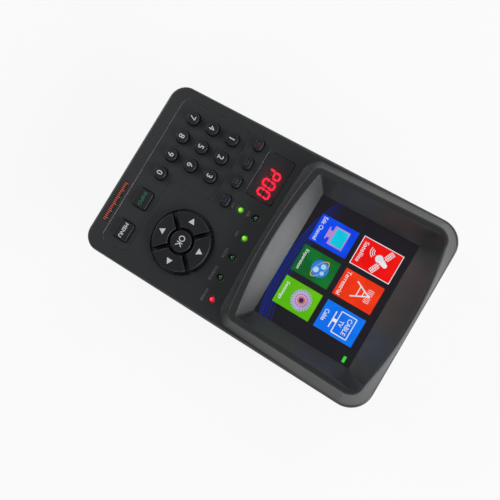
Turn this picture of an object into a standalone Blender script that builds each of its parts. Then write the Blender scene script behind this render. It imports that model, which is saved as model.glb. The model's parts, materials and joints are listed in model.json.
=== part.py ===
"""Handheld satellite signal meter with a keypad deck and a hooded colour screen.

Metres, +Z up. The meter lies on its feet with its keypad end towards -Y and its
screen end towards +Y. The origin is on the surface it rests on, under the middle
of the case. Every sub-part is an object of its own, and the cutters are hidden.
"""

import math

import bmesh
import bpy
from mathutils import Matrix, Vector

# Case, seen from above
BODY_WIDTH = 0.105
BODY_LENGTH = 0.175
KEYPAD_CORNER = 0.0095
HEAD_CORNER = 0.0125

# Case, seen from the side
FOOT_STAND = 0.0015
BACK_DEPTH = 0.0155
DECK_RISE = 0.0100
WALL = 0.0022
DECK_EDGE = 0.0018
BACK_EDGE = 0.0040

# Clearances
FIT = 0.0003
OVERRUN = 0.0010

# Lip that locates the two covers on each other
LIP_WALL = 0.0009
LIP_HEIGHT = 0.0022

# Screen window and its place on the case
SCREEN_WIDTH = 0.0703
SCREEN_HEIGHT = 0.0556
SCREEN_FROM_HEAD = 0.0441
SCREEN_SINK = 0.0027
SCREEN_CORNER = 0.0006

# Hood round the screen: its sloping top plane, the rim of its inner wall and its crest
HOOD_NEAR_RISE = 0.0064
HOOD_FAR_RISE = 0.0138
RIM_SIDE_SPREAD = 0.0067
RIM_NEAR_SPREAD = 0.0048
RIM_FAR_SPREAD = 0.0095
RIM_NEAR_BOW = 0.0040
RIM_FAR_BOW = 0.0028
RIM_NEAR_CORNER = 0.0015
RIM_FAR_CORNER = 0.0060
RIM_ROUND = 0.0008
CREST_SIDE_SPREAD = 0.0038
CREST_NEAR_SPREAD = 0.0055
CREST_FAR_SPREAD = 0.0015
CREST_NEAR_BOW = 0.0028
CREST_FAR_BOW = 0.0036
CREST_NEAR_CORNER = 0.0060
CREST_FAR_CORNER = 0.0085
CREST_ROUND = 0.0009
HOOD_FOOT_INSET = 0.0004
HOOD_NEAR_FROM_HEAD = 0.0905
HOOD_FOOT_CORNER = 0.0090

# Screen stack under the hood
GLASS_OVERLAP = 0.0030
GLASS_THICKNESS = 0.0010
PANEL_WIDTH = 0.0769
PANEL_HEIGHT = 0.0639
PANEL_THICKNESS = 0.0033
TRAY_WALL = 0.0010
TRAY_EAR = 0.0070
TRAY_EAR_INSET = 0.0110
TRAY_PIN_OUT = 0.0036
RIBBON_WIDTH = 0.0270
RIBBON_THICKNESS = 0.0003
RIBBON_RUN = 0.0024
RIBBON_END = 0.0070

# Shallow panel round the digit, INFO and MENU keys
RELIEF_LEFT_FROM_SIDE = 0.0060
RELIEF_RIGHT_FROM_SIDE = 0.0070
RELIEF_NEAR_FROM_END = 0.0090
RELIEF_FAR_FROM_END = 0.0537
RELIEF_STEP_X = -0.0020
RELIEF_STEP_FROM_END = 0.0275
RELIEF_CORNER = 0.0045
RELIEF_DEPTH = 0.0003

# Keys in general
KEY_STAND = 0.0020
KEY_TRAVEL = 0.0010
KEY_FLANGE = 0.0008
KEY_FLANGE_THICKNESS = 0.0010
KEY_EDGE = 0.0006

# Digit keys
DIGIT_RADIUS = 0.0036
DIGIT_X = -0.0374
DIGIT_FROM_END = 0.0201
DIGIT_PITCH_X = 0.0117
DIGIT_PITCH_Y = 0.0129

# Soft keys under the red display
SOFT_LENGTH = 0.0066
SOFT_WIDTH = 0.0044
SOFT_X = -0.0414
SOFT_FROM_END = 0.0606
SOFT_PITCH = 0.0115

# INFO and MENU keys
WORD_KEY_LENGTH = 0.0105
WORD_KEY_WIDTH = 0.0088
WORD_KEY_CORNER = 0.0012
WORD_KEY_STAND = 0.0009
INFO_X = 0.0148
MENU_X = 0.0349
WORD_KEY_FROM_END = 0.0190

# Arrow keys and the OK key
PAD_X = 0.0240
PAD_FROM_END = 0.0513
PAD_RECESS_RADIUS = 0.0180
PAD_RECESS_DEPTH = 0.0008
ARROW_OUTER = 0.0164
ARROW_INNER = 0.0075
ARROW_SPOKE = 0.0026
ARROW_CORNER = 0.0010
OK_RADIUS = 0.0060
OK_FLANGE = 0.0005
PAD_STAND = 0.0026

# Red display and its window
DIGITS_WINDOW_LENGTH = 0.0262
DIGITS_WINDOW_WIDTH = 0.0157
DIGITS_WINDOW_CORNER = 0.0015
DIGITS_WINDOW_X = -0.0289
DIGITS_WINDOW_FROM_END = 0.0753
DIGITS_WINDOW_SINK = 0.0001
DIGITS_WINDOW_FLANGE = 0.0010
DIGITS_WINDOW_FLANGE_THICKNESS = 0.0006
DIGITS_MODULE_BORDER = 0.0004

# Indicator lamps
LAMP_RADIUS = 0.0015
LAMP_FLANGE = 0.0004
LAMP_FLANGE_THICKNESS = 0.0010
LAMP_COUNTERSINK = 0.0023
LAMP_ROW_FROM_END = 0.0795
LAMP_LEFT_X = -0.0066
LAMP_PITCH = 0.0120
LAMP_LAST_X = 0.0416
LAMP_LAST_FROM_END = 0.0814
LAMP_LOW_FROM_END = 0.0697

# Key mat and key board
MAT_THICKNESS = 0.0010
MAT_MARGIN = 0.0006
MAT_FAR_FROM_END = 0.0653
MAT_HOLE_ROOM = 0.0005
DOME_SHARE = 0.72
DOME_SLOPE = 0.0005
BOARD_THICKNESS = 0.0016
KEY_BOARD_FAR_FROM_END = 0.0860
KEY_BOARD_SIDE_ROOM = 0.0057
KEY_BOARD_CORNER = 0.0020
BOARD_POST_RADIUS = 0.0021
BOARD_POST_LEFT_X = -0.0115
BOARD_POST_FAR_FROM_END = 0.0829
BOARD_POST_RIGHT_X = 0.0355
BOARD_POST_RIGHT_FROM_END = 0.0725
BOARD_POST_MIDDLE_X = -0.0030
BOARD_POST_MIDDLE_FROM_END = 0.0335
BOARD_POST_NEAR_X = 0.02485
BOARD_POST_NEAR_FROM_END = 0.0175

# Case screws and their posts
CASE_POST_RADIUS = 0.0036
CASE_POST_KEYPAD_FROM_SIDE = 0.0085
CASE_POST_FROM_END = 0.0080
CASE_POST_HEAD_FROM_SIDE = 0.0077
CASE_POST_FROM_HEAD = 0.0085
CASE_SCREW_RADIUS = 0.0015
CASE_SCREW_HEAD_RADIUS = 0.0027
CASE_SCREW_HEAD_HEIGHT = 0.0020
CASE_SCREW_HEAD_SINK = 0.0008
CASE_SCREW_BITE = 0.0050
SCREW_DRIVE_SHARE = 0.55

# Moulded pins that locate and hold the boards and the screen tray
PIN_RADIUS = 0.0009
PIN_PROUD = 0.0006

# Battery bay, door and pack
BAY_HALF_WIDTH = 0.0315
BAY_FROM_HEAD = 0.0970
BAY_CEILING_Z = 0.0152
BAY_WALL = 0.0015
BAY_NEAR_WALL = 0.0022
DOOR_HALF_WIDTH = 0.0300
DOOR_TONGUE = 0.0010
DOOR_TONGUE_REACH = 0.0012
DOOR_GRIP_COUNT = 6
DOOR_GRIP_PITCH = 0.0024
DOOR_GRIP_WIDTH = 0.0010
DOOR_GRIP_DEPTH = 0.0005
DOOR_GRIP_LENGTH = 0.0200
DOOR_GRIP_FROM_END = 0.0115
PACK_SIDE_ROOM = 0.0010
PACK_CORNER = 0.0020
LEAD_WIDTH = 0.0032
LEAD_THICKNESS = 0.0016
LEAD_HOLE_RADIUS = 0.0035
PLUG_LENGTH = 0.0074
PLUG_WIDTH = 0.0058
PLUG_HEIGHT = 0.0050
PLUG_FROM_HEAD = 0.0700

# Feet
FOOT_RADIUS = 0.0045
FOOT_SEAT = 0.0006
FOOT_FROM_SIDE = 0.0115
FOOT_FROM_END = 0.0235
FOOT_FROM_HEAD = 0.0255

# Main board and what it carries
MAIN_BOARD_TOP_Z = 0.0156
MAIN_BOARD_SIDE_ROOM = 0.0060
MAIN_BOARD_FROM_HEAD = 0.0770
MAIN_POST_RADIUS = 0.0028
MAIN_POST_FROM_SIDE = 0.0120
MAIN_POST_NEAR_FROM_HEAD = 0.0697
MAIN_POST_FAR_FROM_HEAD = 0.0205
TUNER_HEIGHT = 0.0094
TUNER_LENGTH = 0.0330
TUNER_FRAME = 0.0007
SATELLITE_TUNER_LEFT = -0.0360
SATELLITE_TUNER_RIGHT = 0.0010
AERIAL_TUNER_LEFT = 0.0035
AERIAL_TUNER_RIGHT = 0.0225
PROCESSOR_SIZE = 0.0160
PROCESSOR_X = 0.0180
PROCESSOR_FROM_HEAD = 0.0613
MEMORY_SIZE = 0.0090
MEMORY_X = -0.0005
MEMORY_FROM_HEAD = 0.0565
CHIP_THICKNESS = 0.0014

# Connector bay at the screen end, with the aerial sockets
BAY_RECESS = 0.0120
CONNECTOR_BAY_HALF_WIDTH = 0.0390
CONNECTOR_BAY_CEILING_Z = 0.0150
BARREL_RADIUS = 0.00475
BARREL_REACH = 0.0110
BARREL_BORE = 0.0024
BARREL_BORE_DEPTH = 0.0035
BARREL_NUT_FLATS = 0.0110
BARREL_NUT_THICKNESS = 0.0022
BARREL_Z = 0.0088
SATELLITE_IN_X = -0.0275
LOOP_OUT_X = -0.0085
AERIAL_IN_X = 0.0130

# Power switch beside the aerial sockets
SWITCH_X = 0.0305
SWITCH_BODY_LENGTH = 0.0125
SWITCH_BODY_HEIGHT = 0.0060
SWITCH_BODY_DEPTH = 0.0062
SWITCH_POCKET_DEPTH = 0.0030
KNOB_LENGTH = 0.0038
KNOB_HEIGHT = 0.0028
KNOB_REACH = 0.0028
KNOB_TRAVEL = 0.0040

# Speaker behind its grille in the back cover
SPEAKER_RADIUS = 0.0130
SPEAKER_DEPTH = 0.0048
SPEAKER_CONE_RADIUS = 0.0105
SPEAKER_CONE_DEPTH = 0.0012
SPEAKER_X = -0.0200
SPEAKER_FROM_HEAD = 0.0660
SPEAKER_RING_WALL = 0.0012
SPEAKER_RING_HEIGHT = 0.0030
GRILLE_SLOT_COUNT = 7
GRILLE_SLOT_PITCH = 0.0028
GRILLE_SLOT_WIDTH = 0.0013
VENT_COUNT = 8
VENT_PITCH = 0.0036
VENT_WIDTH = 0.0016
VENT_LENGTH = 0.0150
VENT_X = 0.0180
VENT_FROM_HEAD = 0.0613

# Sockets in the long sides
PORT_SETBACK = 0.0006
PORT_SHELL = 0.0004
DATA_PORT_WIDTH = 0.0131
DATA_PORT_HEIGHT = 0.0057
DATA_PORT_DEPTH = 0.0130
DATA_PORT_CAVITY = 0.0095
DATA_PORT_TONGUE = 0.0018
DATA_PORT_FROM_HEAD = 0.0545
PICTURE_PORT_WIDTH = 0.0150
PICTURE_PORT_HEIGHT = 0.0056
PICTURE_PORT_DEPTH = 0.0110
PICTURE_PORT_CAVITY = 0.0080
PICTURE_PORT_TONGUE = 0.0010
PICTURE_PORT_TAPER = 0.0016
PICTURE_PORT_FROM_HEAD = 0.0325
POWER_JACK_WIDTH = 0.0090
POWER_JACK_HEIGHT = 0.0092
POWER_JACK_DEPTH = 0.0120
POWER_JACK_BORE = 0.0032
POWER_JACK_PIN = 0.00105
POWER_JACK_BORE_DEPTH = 0.0090
POWER_JACK_FROM_HEAD = 0.0525
AUDIO_JACK_WIDTH = 0.0064
AUDIO_JACK_HEIGHT = 0.0064
AUDIO_JACK_DEPTH = 0.0115
AUDIO_JACK_BORE = 0.0018
AUDIO_JACK_BORE_DEPTH = 0.0095
AUDIO_JACK_FROM_HEAD = 0.0355

# Flat cable from the key board to the main board
KEY_CABLE_WIDTH = 0.0120
KEY_CABLE_X = 0.0260
KEY_CABLE_LAP = 0.0055

# Shares that shape small roundings
ROUNDING_SHARE = 0.08
SLOT_END_SHARE = 0.95
MAGNET_SHARE = 0.62
LEAD_ROUND_SHARE = 0.4

# Steps that round shapes are drawn in
CASE_CORNER_STEPS = 5
HOOD_CORNER_STEPS = 4
HOOD_BOW_STEPS = 8
ROUND_STEPS = 18
SMALL_ROUND_STEPS = 10
ARROW_STEPS = 6
RIBBON_STEPS = 5
LEAD_STEPS = 8

# Levels that follow from the sizes above
HALF_WIDTH = BODY_WIDTH / 2
HALF_LENGTH = BODY_LENGTH / 2
BACK_Z = FOOT_STAND
FLOOR_Z = BACK_Z + WALL
PARTING_Z = BACK_Z + BACK_DEPTH
DECK_Z = PARTING_Z + DECK_RISE
DECK_UNDER_Z = DECK_Z - WALL
FLANGE_TOP_Z = DECK_UNDER_Z - FIT
FLANGE_Z = FLANGE_TOP_Z - KEY_FLANGE_THICKNESS
DOME_TOP_Z = FLANGE_Z - FIT
MAT_TOP_Z = DOME_TOP_Z - 2 * KEY_TRAVEL
MAT_Z = MAT_TOP_Z - MAT_THICKNESS
KEY_BOARD_TOP_Z = MAT_Z - FIT
KEY_BOARD_Z = KEY_BOARD_TOP_Z - BOARD_THICKNESS
ON_BOARD_Z = KEY_BOARD_TOP_Z + FIT
MAIN_BOARD_Z = MAIN_BOARD_TOP_Z - BOARD_THICKNESS
UNDER_MAIN_Z = MAIN_BOARD_Z - FIT
SCREEN_FRAME_Z = DECK_Z - SCREEN_SINK
GLASS_TOP_Z = SCREEN_FRAME_Z - FIT
PANEL_TOP_Z = GLASS_TOP_Z - GLASS_THICKNESS - FIT
PANEL_Z = PANEL_TOP_Z - PANEL_THICKNESS
TRAY_TOP_Z = PANEL_Z - FIT
TRAY_Z = TRAY_TOP_Z - TRAY_WALL
CONNECTOR_WALL_Y = HALF_LENGTH - BAY_RECESS
CONNECTOR_WALL_BACK_Y = CONNECTOR_WALL_Y - BAY_WALL
TUNER_FAR = CONNECTOR_WALL_BACK_Y - FIT

# Places measured from the keypad end
CASE_POST_KEYPAD_Y = CASE_POST_FROM_END - HALF_LENGTH
RELIEF_NEAR = RELIEF_NEAR_FROM_END - HALF_LENGTH
RELIEF_STEP_Y = RELIEF_STEP_FROM_END - HALF_LENGTH
RELIEF_FAR = RELIEF_FAR_FROM_END - HALF_LENGTH
DOOR_GRIP_Y = DOOR_GRIP_FROM_END - HALF_LENGTH
BOARD_POST_NEAR_Y = BOARD_POST_NEAR_FROM_END - HALF_LENGTH
WORD_KEY_Y = WORD_KEY_FROM_END - HALF_LENGTH
DIGIT_Y = DIGIT_FROM_END - HALF_LENGTH
FOOT_NEAR_Y = FOOT_FROM_END - HALF_LENGTH
BOARD_POST_MIDDLE_Y = BOARD_POST_MIDDLE_FROM_END - HALF_LENGTH
PAD_Y = PAD_FROM_END - HALF_LENGTH
SOFT_Y = SOFT_FROM_END - HALF_LENGTH
MAT_FAR = MAT_FAR_FROM_END - HALF_LENGTH
LAMP_LOW_Y = LAMP_LOW_FROM_END - HALF_LENGTH
BOARD_POST_RIGHT_Y = BOARD_POST_RIGHT_FROM_END - HALF_LENGTH
DIGITS_WINDOW_Y = DIGITS_WINDOW_FROM_END - HALF_LENGTH
LAMP_ROW_Y = LAMP_ROW_FROM_END - HALF_LENGTH
LAMP_LAST_Y = LAMP_LAST_FROM_END - HALF_LENGTH
BOARD_POST_FAR_Y = BOARD_POST_FAR_FROM_END - HALF_LENGTH
KEY_BOARD_FAR = KEY_BOARD_FAR_FROM_END - HALF_LENGTH

# Places measured from the screen end
BAY_FAR = HALF_LENGTH - BAY_FROM_HEAD
HOOD_FOOT_NEAR_Y = HALF_LENGTH - HOOD_NEAR_FROM_HEAD
MAIN_BOARD_NEAR = HALF_LENGTH - MAIN_BOARD_FROM_HEAD
PLUG_Y = HALF_LENGTH - PLUG_FROM_HEAD
MAIN_POST_NEAR_Y = HALF_LENGTH - MAIN_POST_NEAR_FROM_HEAD
SPEAKER_Y = HALF_LENGTH - SPEAKER_FROM_HEAD
PROCESSOR_Y = HALF_LENGTH - PROCESSOR_FROM_HEAD
VENT_Y = HALF_LENGTH - VENT_FROM_HEAD
MEMORY_Y = HALF_LENGTH - MEMORY_FROM_HEAD
DATA_PORT_Y = HALF_LENGTH - DATA_PORT_FROM_HEAD
POWER_JACK_Y = HALF_LENGTH - POWER_JACK_FROM_HEAD
SCREEN_Y = HALF_LENGTH - SCREEN_FROM_HEAD
AUDIO_JACK_Y = HALF_LENGTH - AUDIO_JACK_FROM_HEAD
PICTURE_PORT_Y = HALF_LENGTH - PICTURE_PORT_FROM_HEAD
FOOT_FAR_Y = HALF_LENGTH - FOOT_FROM_HEAD
MAIN_POST_FAR_Y = HALF_LENGTH - MAIN_POST_FAR_FROM_HEAD
CASE_POST_HEAD_Y = HALF_LENGTH - CASE_POST_FROM_HEAD

# Places measured from the long sides
RELIEF_LEFT = RELIEF_LEFT_FROM_SIDE - HALF_WIDTH
RELIEF_RIGHT = HALF_WIDTH - RELIEF_RIGHT_FROM_SIDE
KEY_BOARD_HALF_WIDTH = HALF_WIDTH - KEY_BOARD_SIDE_ROOM
MAIN_BOARD_HALF_WIDTH = HALF_WIDTH - MAIN_BOARD_SIDE_ROOM
CASE_POST_KEYPAD_X = HALF_WIDTH - CASE_POST_KEYPAD_FROM_SIDE
CASE_POST_HEAD_X = HALF_WIDTH - CASE_POST_HEAD_FROM_SIDE
MAIN_POST_X = HALF_WIDTH - MAIN_POST_FROM_SIDE
FOOT_X = HALF_WIDTH - FOOT_FROM_SIDE


def material(name, colour, roughness, metallic=0.0):
    """Return a plain Principled material."""
    made = bpy.data.materials.new(name)
    made.use_nodes = True
    shader = made.node_tree.nodes["Principled BSDF"]
    shader.inputs["Base Color"].default_value = (*colour, 1.0)
    shader.inputs["Roughness"].default_value = roughness
    shader.inputs["Metallic"].default_value = metallic
    return made


def loft(bm, rings):
    """Add one closed body through rings of points, lowest first, and cap both ends."""
    levels = [[bm.verts.new(point) for point in ring] for ring in rings]
    count = len(levels[0])
    bm.faces.new(list(reversed(levels[0])))
    bm.faces.new(levels[-1])
    for lower, upper in zip(levels, levels[1:]):
        for index in range(count):
            following = (index + 1) % count
            bm.faces.new((lower[index], lower[following], upper[following], upper[index]))


def make_object(name, bodies, finish=None, location=(0, 0, 0), turn=None):
    """Return an object that holds one closed body for each stack of rings."""
    bm = bmesh.new()
    for rings in bodies:
        loft(bm, rings)
    if turn is not None:
        bmesh.ops.transform(bm, matrix=turn, verts=bm.verts)
    bmesh.ops.recalc_face_normals(bm, faces=bm.faces)
    mesh = bpy.data.meshes.new(name)
    bm.to_mesh(mesh)
    bm.free()
    mesh.shade_smooth()
    mesh.set_sharp_from_angle(angle=math.radians(35))
    made = bpy.data.objects.new(name, mesh)
    made.location = location
    bpy.context.scene.collection.objects.link(made)
    if finish is not None:
        mesh.materials.append(finish)
    return made


def make_cutter(name, bodies, turn=None):
    """Return a hidden object that only shapes others."""
    made = make_object(name, bodies, turn=turn)
    made.hide_render = True
    made.display_type = "WIRE"
    return made


def combine(target, tool, operation):
    """Add a Boolean of the target with the tool."""
    step = target.modifiers.new(tool.name, "BOOLEAN")
    step.operation = operation
    step.solver = "EXACT"
    step.object = tool


def at_height(outline, z):
    """Return a flat outline as points at one height."""
    return [(x, y, z) for x, y in outline]


def prism(outline, low, high):
    """Return the two rings of a straight body."""
    return [at_height(outline, low), at_height(outline, high)]


def block(x_low, x_high, y_low, y_high, z_low, z_high):
    """Return the rings of a box."""
    outline = [(x_low, y_low), (x_high, y_low), (x_high, y_high), (x_low, y_high)]
    return prism(outline, z_low, z_high)


def circle(radius, x=0, y=0, steps=ROUND_STEPS):
    """Return a round outline."""
    angles = [2 * math.pi * index / steps for index in range(steps)]
    return [(x + radius * math.cos(angle), y + radius * math.sin(angle)) for angle in angles]


def rounded(corners, radii, steps):
    """Return a polygon, counter-clockwise, with each corner drawn as an arc."""
    outline = []
    for index, corner in enumerate(corners):
        here = Vector(corner)
        back = (Vector(corners[index - 1]) - here).normalized()
        ahead = (Vector(corners[(index + 1) % len(corners)]) - here).normalized()
        half_angle = back.angle(ahead) / 2
        start = here + back * (radii[index] / math.tan(half_angle))
        centre = here + (back + ahead).normalized() * (radii[index] / math.sin(half_angle))
        side = -1 if back.cross(ahead) > 0 else 1
        sweep = side * (math.pi - 2 * half_angle)
        for step in range(steps + 1):
            arm = Matrix.Rotation(sweep * step / steps, 2) @ (start - centre)
            outline.append(tuple(centre + arm))
    return outline


def rectangle(half_x, half_y, radius, x=0, y=0, steps=3):
    """Return a rectangle with rounded corners."""
    corners = [
        (x - half_x, y - half_y),
        (x + half_x, y - half_y),
        (x + half_x, y + half_y),
        (x - half_x, y + half_y),
    ]
    return rounded(corners, [radius] * 4, steps)


def case_outline(inset):
    """Return the case seen from above, drawn in by the inset."""
    half_x = HALF_WIDTH - inset
    half_y = HALF_LENGTH - inset
    near = KEYPAD_CORNER - inset
    far = HEAD_CORNER - inset
    corners = [(-half_x, -half_y), (half_x, -half_y), (half_x, half_y), (-half_x, half_y)]
    return rounded(corners, [near, near, far, far], CASE_CORNER_STEPS)


def case_columns():
    """Return the places of the four case screws."""
    return [
        (side * x, y)
        for side in (-1, 1)
        for x, y in (
            (CASE_POST_KEYPAD_X, CASE_POST_KEYPAD_Y),
            (CASE_POST_HEAD_X, CASE_POST_HEAD_Y),
        )
    ]


def small_posts():
    """Return the places of the four pins that hold the key board."""
    return [
        (BOARD_POST_LEFT_X, BOARD_POST_FAR_Y),
        (BOARD_POST_RIGHT_X, BOARD_POST_RIGHT_Y),
        (BOARD_POST_MIDDLE_X, BOARD_POST_MIDDLE_Y),
        (BOARD_POST_NEAR_X, BOARD_POST_NEAR_Y),
    ]


def tray_posts():
    """Return the places of the four pins that hold the screen tray."""
    x = PANEL_WIDTH / 2 + FIT + TRAY_WALL + TRAY_PIN_OUT
    reach = PANEL_HEIGHT / 2 - TRAY_EAR_INSET
    return [(side * x, SCREEN_Y + end * reach) for side in (-1, 1) for end in (-1, 1)]


def main_posts():
    """Return the places of the four pins that hold the main board."""
    return [(side * MAIN_POST_X, y) for side in (-1, 1) for y in (MAIN_POST_NEAR_Y, MAIN_POST_FAR_Y)]


def column(radius, place, low, high, steps=SMALL_ROUND_STEPS):
    """Return the rings of an upright round body."""
    return prism(circle(radius, place[0], place[1], steps), low, high)


def pinned_post(place, tip, shoulder, end):
    """Return the rings of a post with a thin pin on its end, upwards or downwards."""
    post = BOARD_POST_RADIUS
    profile = [(PIN_RADIUS, tip), (PIN_RADIUS, shoulder), (post, shoulder), (post, end)]
    return turned(profile, place, SMALL_ROUND_STEPS)


def turned(profile, place=(0, 0), steps=ROUND_STEPS):
    """Return the rings of a turned body from its radii and heights, lowest first."""
    return [at_height(circle(radius, place[0], place[1], steps), z) for radius, z in profile]


# Directions that a body drawn along +Z is turned to
HEADWARD = Matrix(((1, 0, 0, 0), (0, 0, 1, 0), (0, -1, 0, 0), (0, 0, 0, 1)))
LEFTWARD = Matrix(((0, 0, -1, 0), (-1, 0, 0, 0), (0, 1, 0, 0), (0, 0, 0, 1)))
RIGHTWARD = Matrix(((0, 0, 1, 0), (1, 0, 0, 0), (0, 1, 0, 0), (0, 0, 0, 1)))


def hood_ring(side, near, near_bow, far, far_bow, near_corner, far_corner, height):
    """Return a closed ring round the screen whose near and far edges bow outwards."""
    quarter = math.pi / 2
    near_span = side - near_corner
    far_span = side - far_corner
    flat = []
    for step in range(HOOD_BOW_STEPS):
        share = 2 * step / HOOD_BOW_STEPS - 1
        flat.append((near_span * share, near - near_bow * (1 - share * share)))
    for step in range(HOOD_CORNER_STEPS + 1):
        angle = quarter * step / HOOD_CORNER_STEPS - quarter
        flat.append((near_span + near_corner * math.cos(angle), near + near_corner * (1 + math.sin(angle))))
    for step in range(HOOD_CORNER_STEPS):
        angle = quarter * step / HOOD_CORNER_STEPS
        flat.append((far_span + far_corner * math.cos(angle), far - far_corner * (1 - math.sin(angle))))
    for step in range(HOOD_BOW_STEPS):
        share = 1 - 2 * step / HOOD_BOW_STEPS
        flat.append((far_span * share, far + far_bow * (1 - share * share)))
    for step in range(HOOD_CORNER_STEPS + 1):
        angle = quarter * step / HOOD_CORNER_STEPS + quarter
        flat.append((far_corner * math.cos(angle) - far_span, far - far_corner * (1 - math.sin(angle))))
    for step in range(HOOD_CORNER_STEPS):
        angle = quarter * step / HOOD_CORNER_STEPS + 2 * quarter
        flat.append((near_corner * math.cos(angle) - near_span, near + near_corner * (1 + math.sin(angle))))
    return [(x, y, height(y)) for x, y in flat]


def screen_ring(grown, z):
    """Return the ring round the visible screen, grown sideways."""
    side = SCREEN_WIDTH / 2 + grown
    reach = SCREEN_HEIGHT / 2 + grown
    corner = SCREEN_CORNER + grown
    return hood_ring(side, SCREEN_Y - reach, 0, SCREEN_Y + reach, 0, corner, corner, lambda y: z)


def rim_ring(grown, drop):
    """Return the top ring of the hood's inner wall, below the hood's top plane by the drop."""
    side = SCREEN_WIDTH / 2 + RIM_SIDE_SPREAD + grown
    near = SCREEN_Y - SCREEN_HEIGHT / 2 - RIM_NEAR_SPREAD - grown
    far = SCREEN_Y + SCREEN_HEIGHT / 2 + RIM_FAR_SPREAD + grown
    near_corner = RIM_NEAR_CORNER + grown
    far_corner = RIM_FAR_CORNER + grown
    height = hood_plane(drop)
    return hood_ring(side, near, RIM_NEAR_BOW, far, RIM_FAR_BOW, near_corner, far_corner, height)


def crest_ring(inset, drop):
    """Return the outer ring of the hood's crest, drawn in and lowered."""
    side = SCREEN_WIDTH / 2 + RIM_SIDE_SPREAD + CREST_SIDE_SPREAD - inset
    near = SCREEN_Y - SCREEN_HEIGHT / 2 - RIM_NEAR_SPREAD - CREST_NEAR_SPREAD + inset
    far = SCREEN_Y + SCREEN_HEIGHT / 2 + RIM_FAR_SPREAD + CREST_FAR_SPREAD - inset
    near_corner = CREST_NEAR_CORNER - inset
    far_corner = CREST_FAR_CORNER - inset
    height = hood_plane(drop)
    return hood_ring(side, near, CREST_NEAR_BOW, far, CREST_FAR_BOW, near_corner, far_corner, height)


def foot_ring(inset, z):
    """Return the ring where the hood meets the deck and the case's edge."""
    side = HALF_WIDTH - HOOD_FOOT_INSET - inset
    near = HOOD_FOOT_NEAR_Y + inset
    far = HALF_LENGTH - HOOD_FOOT_INSET - inset
    far_corner = HEAD_CORNER - HOOD_FOOT_INSET - inset
    return hood_ring(side, near, 0, far, 0, HOOD_FOOT_CORNER - inset, far_corner, lambda y: z)


def hood_plane(drop):
    """Return the height of the hood's sloping top at each y, lowered by the drop."""
    near = SCREEN_Y - SCREEN_HEIGHT / 2 - RIM_NEAR_SPREAD - CREST_NEAR_SPREAD
    far = SCREEN_Y + SCREEN_HEIGHT / 2 + RIM_FAR_SPREAD + CREST_FAR_SPREAD

    def height(y):
        share = (y - near) / (far - near)
        return DECK_Z + HOOD_NEAR_RISE + (HOOD_FAR_RISE - HOOD_NEAR_RISE) * share - drop

    return height


def rounded_edge(radius):
    """Return the inset and the rise at each step of a rounded edge, from wall to flat."""
    angles = [math.radians(degrees) for degrees in (0, 30, 60, 90)]
    return [(radius * (1 - math.cos(angle)), radius * math.sin(angle)) for angle in angles]


def digit_places():
    """Return each digit key's number and centre."""
    places = {"0": (DIGIT_X + 3 * DIGIT_PITCH_X, DIGIT_Y)}
    for number in range(1, 10):
        place_column = (number - 1) % 3
        row = 2 - (number - 1) // 3
        places[str(number)] = (DIGIT_X + place_column * DIGIT_PITCH_X, DIGIT_Y + row * DIGIT_PITCH_Y)
    return places


def digit_outline(grown):
    """Return a digit key seen from above."""
    return circle(DIGIT_RADIUS + grown)


def soft_outline(grown):
    """Return a soft key seen from above, with round ends."""
    half_x = SOFT_LENGTH / 2 + grown
    half_y = SOFT_WIDTH / 2 + grown
    return rectangle(half_x, half_y, half_y * (1 - ROUNDING_SHARE), steps=4)


def word_outline(grown):
    """Return the INFO or MENU key seen from above."""
    half_x = WORD_KEY_LENGTH / 2 + grown
    half_y = WORD_KEY_WIDTH / 2 + grown
    return rectangle(half_x, half_y, WORD_KEY_CORNER + grown)


def ok_outline(grown):
    """Return the OK key seen from above."""
    return circle(OK_RADIUS + grown)


def arc(radius, start, end, steps):
    """Return the points of an arc about the origin."""
    angles = [start + (end - start) * step / steps for step in range(steps + 1)]
    return [(radius * math.cos(angle), radius * math.sin(angle)) for angle in angles]


def arrow_outline(turn, grown, grown_inwards):
    """Return an arrow key seen from above, about the middle of the four keys."""
    outer = ARROW_OUTER + grown
    inner = ARROW_INNER - grown_inwards
    half_spoke = ARROW_SPOKE / 2 - grown
    shoulder = outer - ARROW_CORNER
    outer_half = math.pi / 4 - math.asin((half_spoke + ARROW_CORNER) / outer)
    shoulder_half = math.pi / 4 - math.asin(half_spoke / shoulder)
    inner_half = math.pi / 4 - math.asin(half_spoke / inner)
    points = arc(outer, turn - outer_half, turn + outer_half, ARROW_STEPS)
    points += arc(shoulder, turn + shoulder_half, turn + shoulder_half, 1)[:1]
    points += arc(inner, turn + inner_half, turn - inner_half, ARROW_STEPS)
    points += arc(shoulder, turn - shoulder_half, turn - shoulder_half, 1)[:1]
    return points


def key_list():
    """Return each key as name, centre, outline, flange, stand, dome centre and dome radius."""
    keys = []
    for number, place in digit_places().items():
        dome = DOME_SHARE * DIGIT_RADIUS
        keys.append(("key_" + number, place, digit_outline, KEY_STAND, place, dome))
    for index in range(4):
        place = (SOFT_X + index * SOFT_PITCH, SOFT_Y)
        dome = DOME_SHARE * SOFT_WIDTH / 2
        keys.append((f"key_f{index + 1}", place, soft_outline, KEY_STAND, place, dome))
    for name, x in (("key_info", INFO_X), ("key_menu", MENU_X)):
        place = (x, WORD_KEY_Y)
        dome = DOME_SHARE * WORD_KEY_WIDTH / 2
        keys.append((name, place, word_outline, WORD_KEY_STAND, place, dome))
    pad = (PAD_X, PAD_Y)
    reach = (ARROW_OUTER + ARROW_INNER) / 2
    for index, way in enumerate(("right", "up", "left", "down")):
        turn = index * math.pi / 2
        dome_place = (PAD_X + reach * math.cos(turn), PAD_Y + reach * math.sin(turn))
        dome = DOME_SHARE * (ARROW_OUTER - ARROW_INNER) / 2
        outline = arrow_outlines(turn)
        keys.append(("key_" + way, pad, outline, PAD_STAND, dome_place, dome))
    keys.append(("key_ok", pad, ok_outline, PAD_STAND, pad, DOME_SHARE * OK_RADIUS))
    return keys


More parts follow.
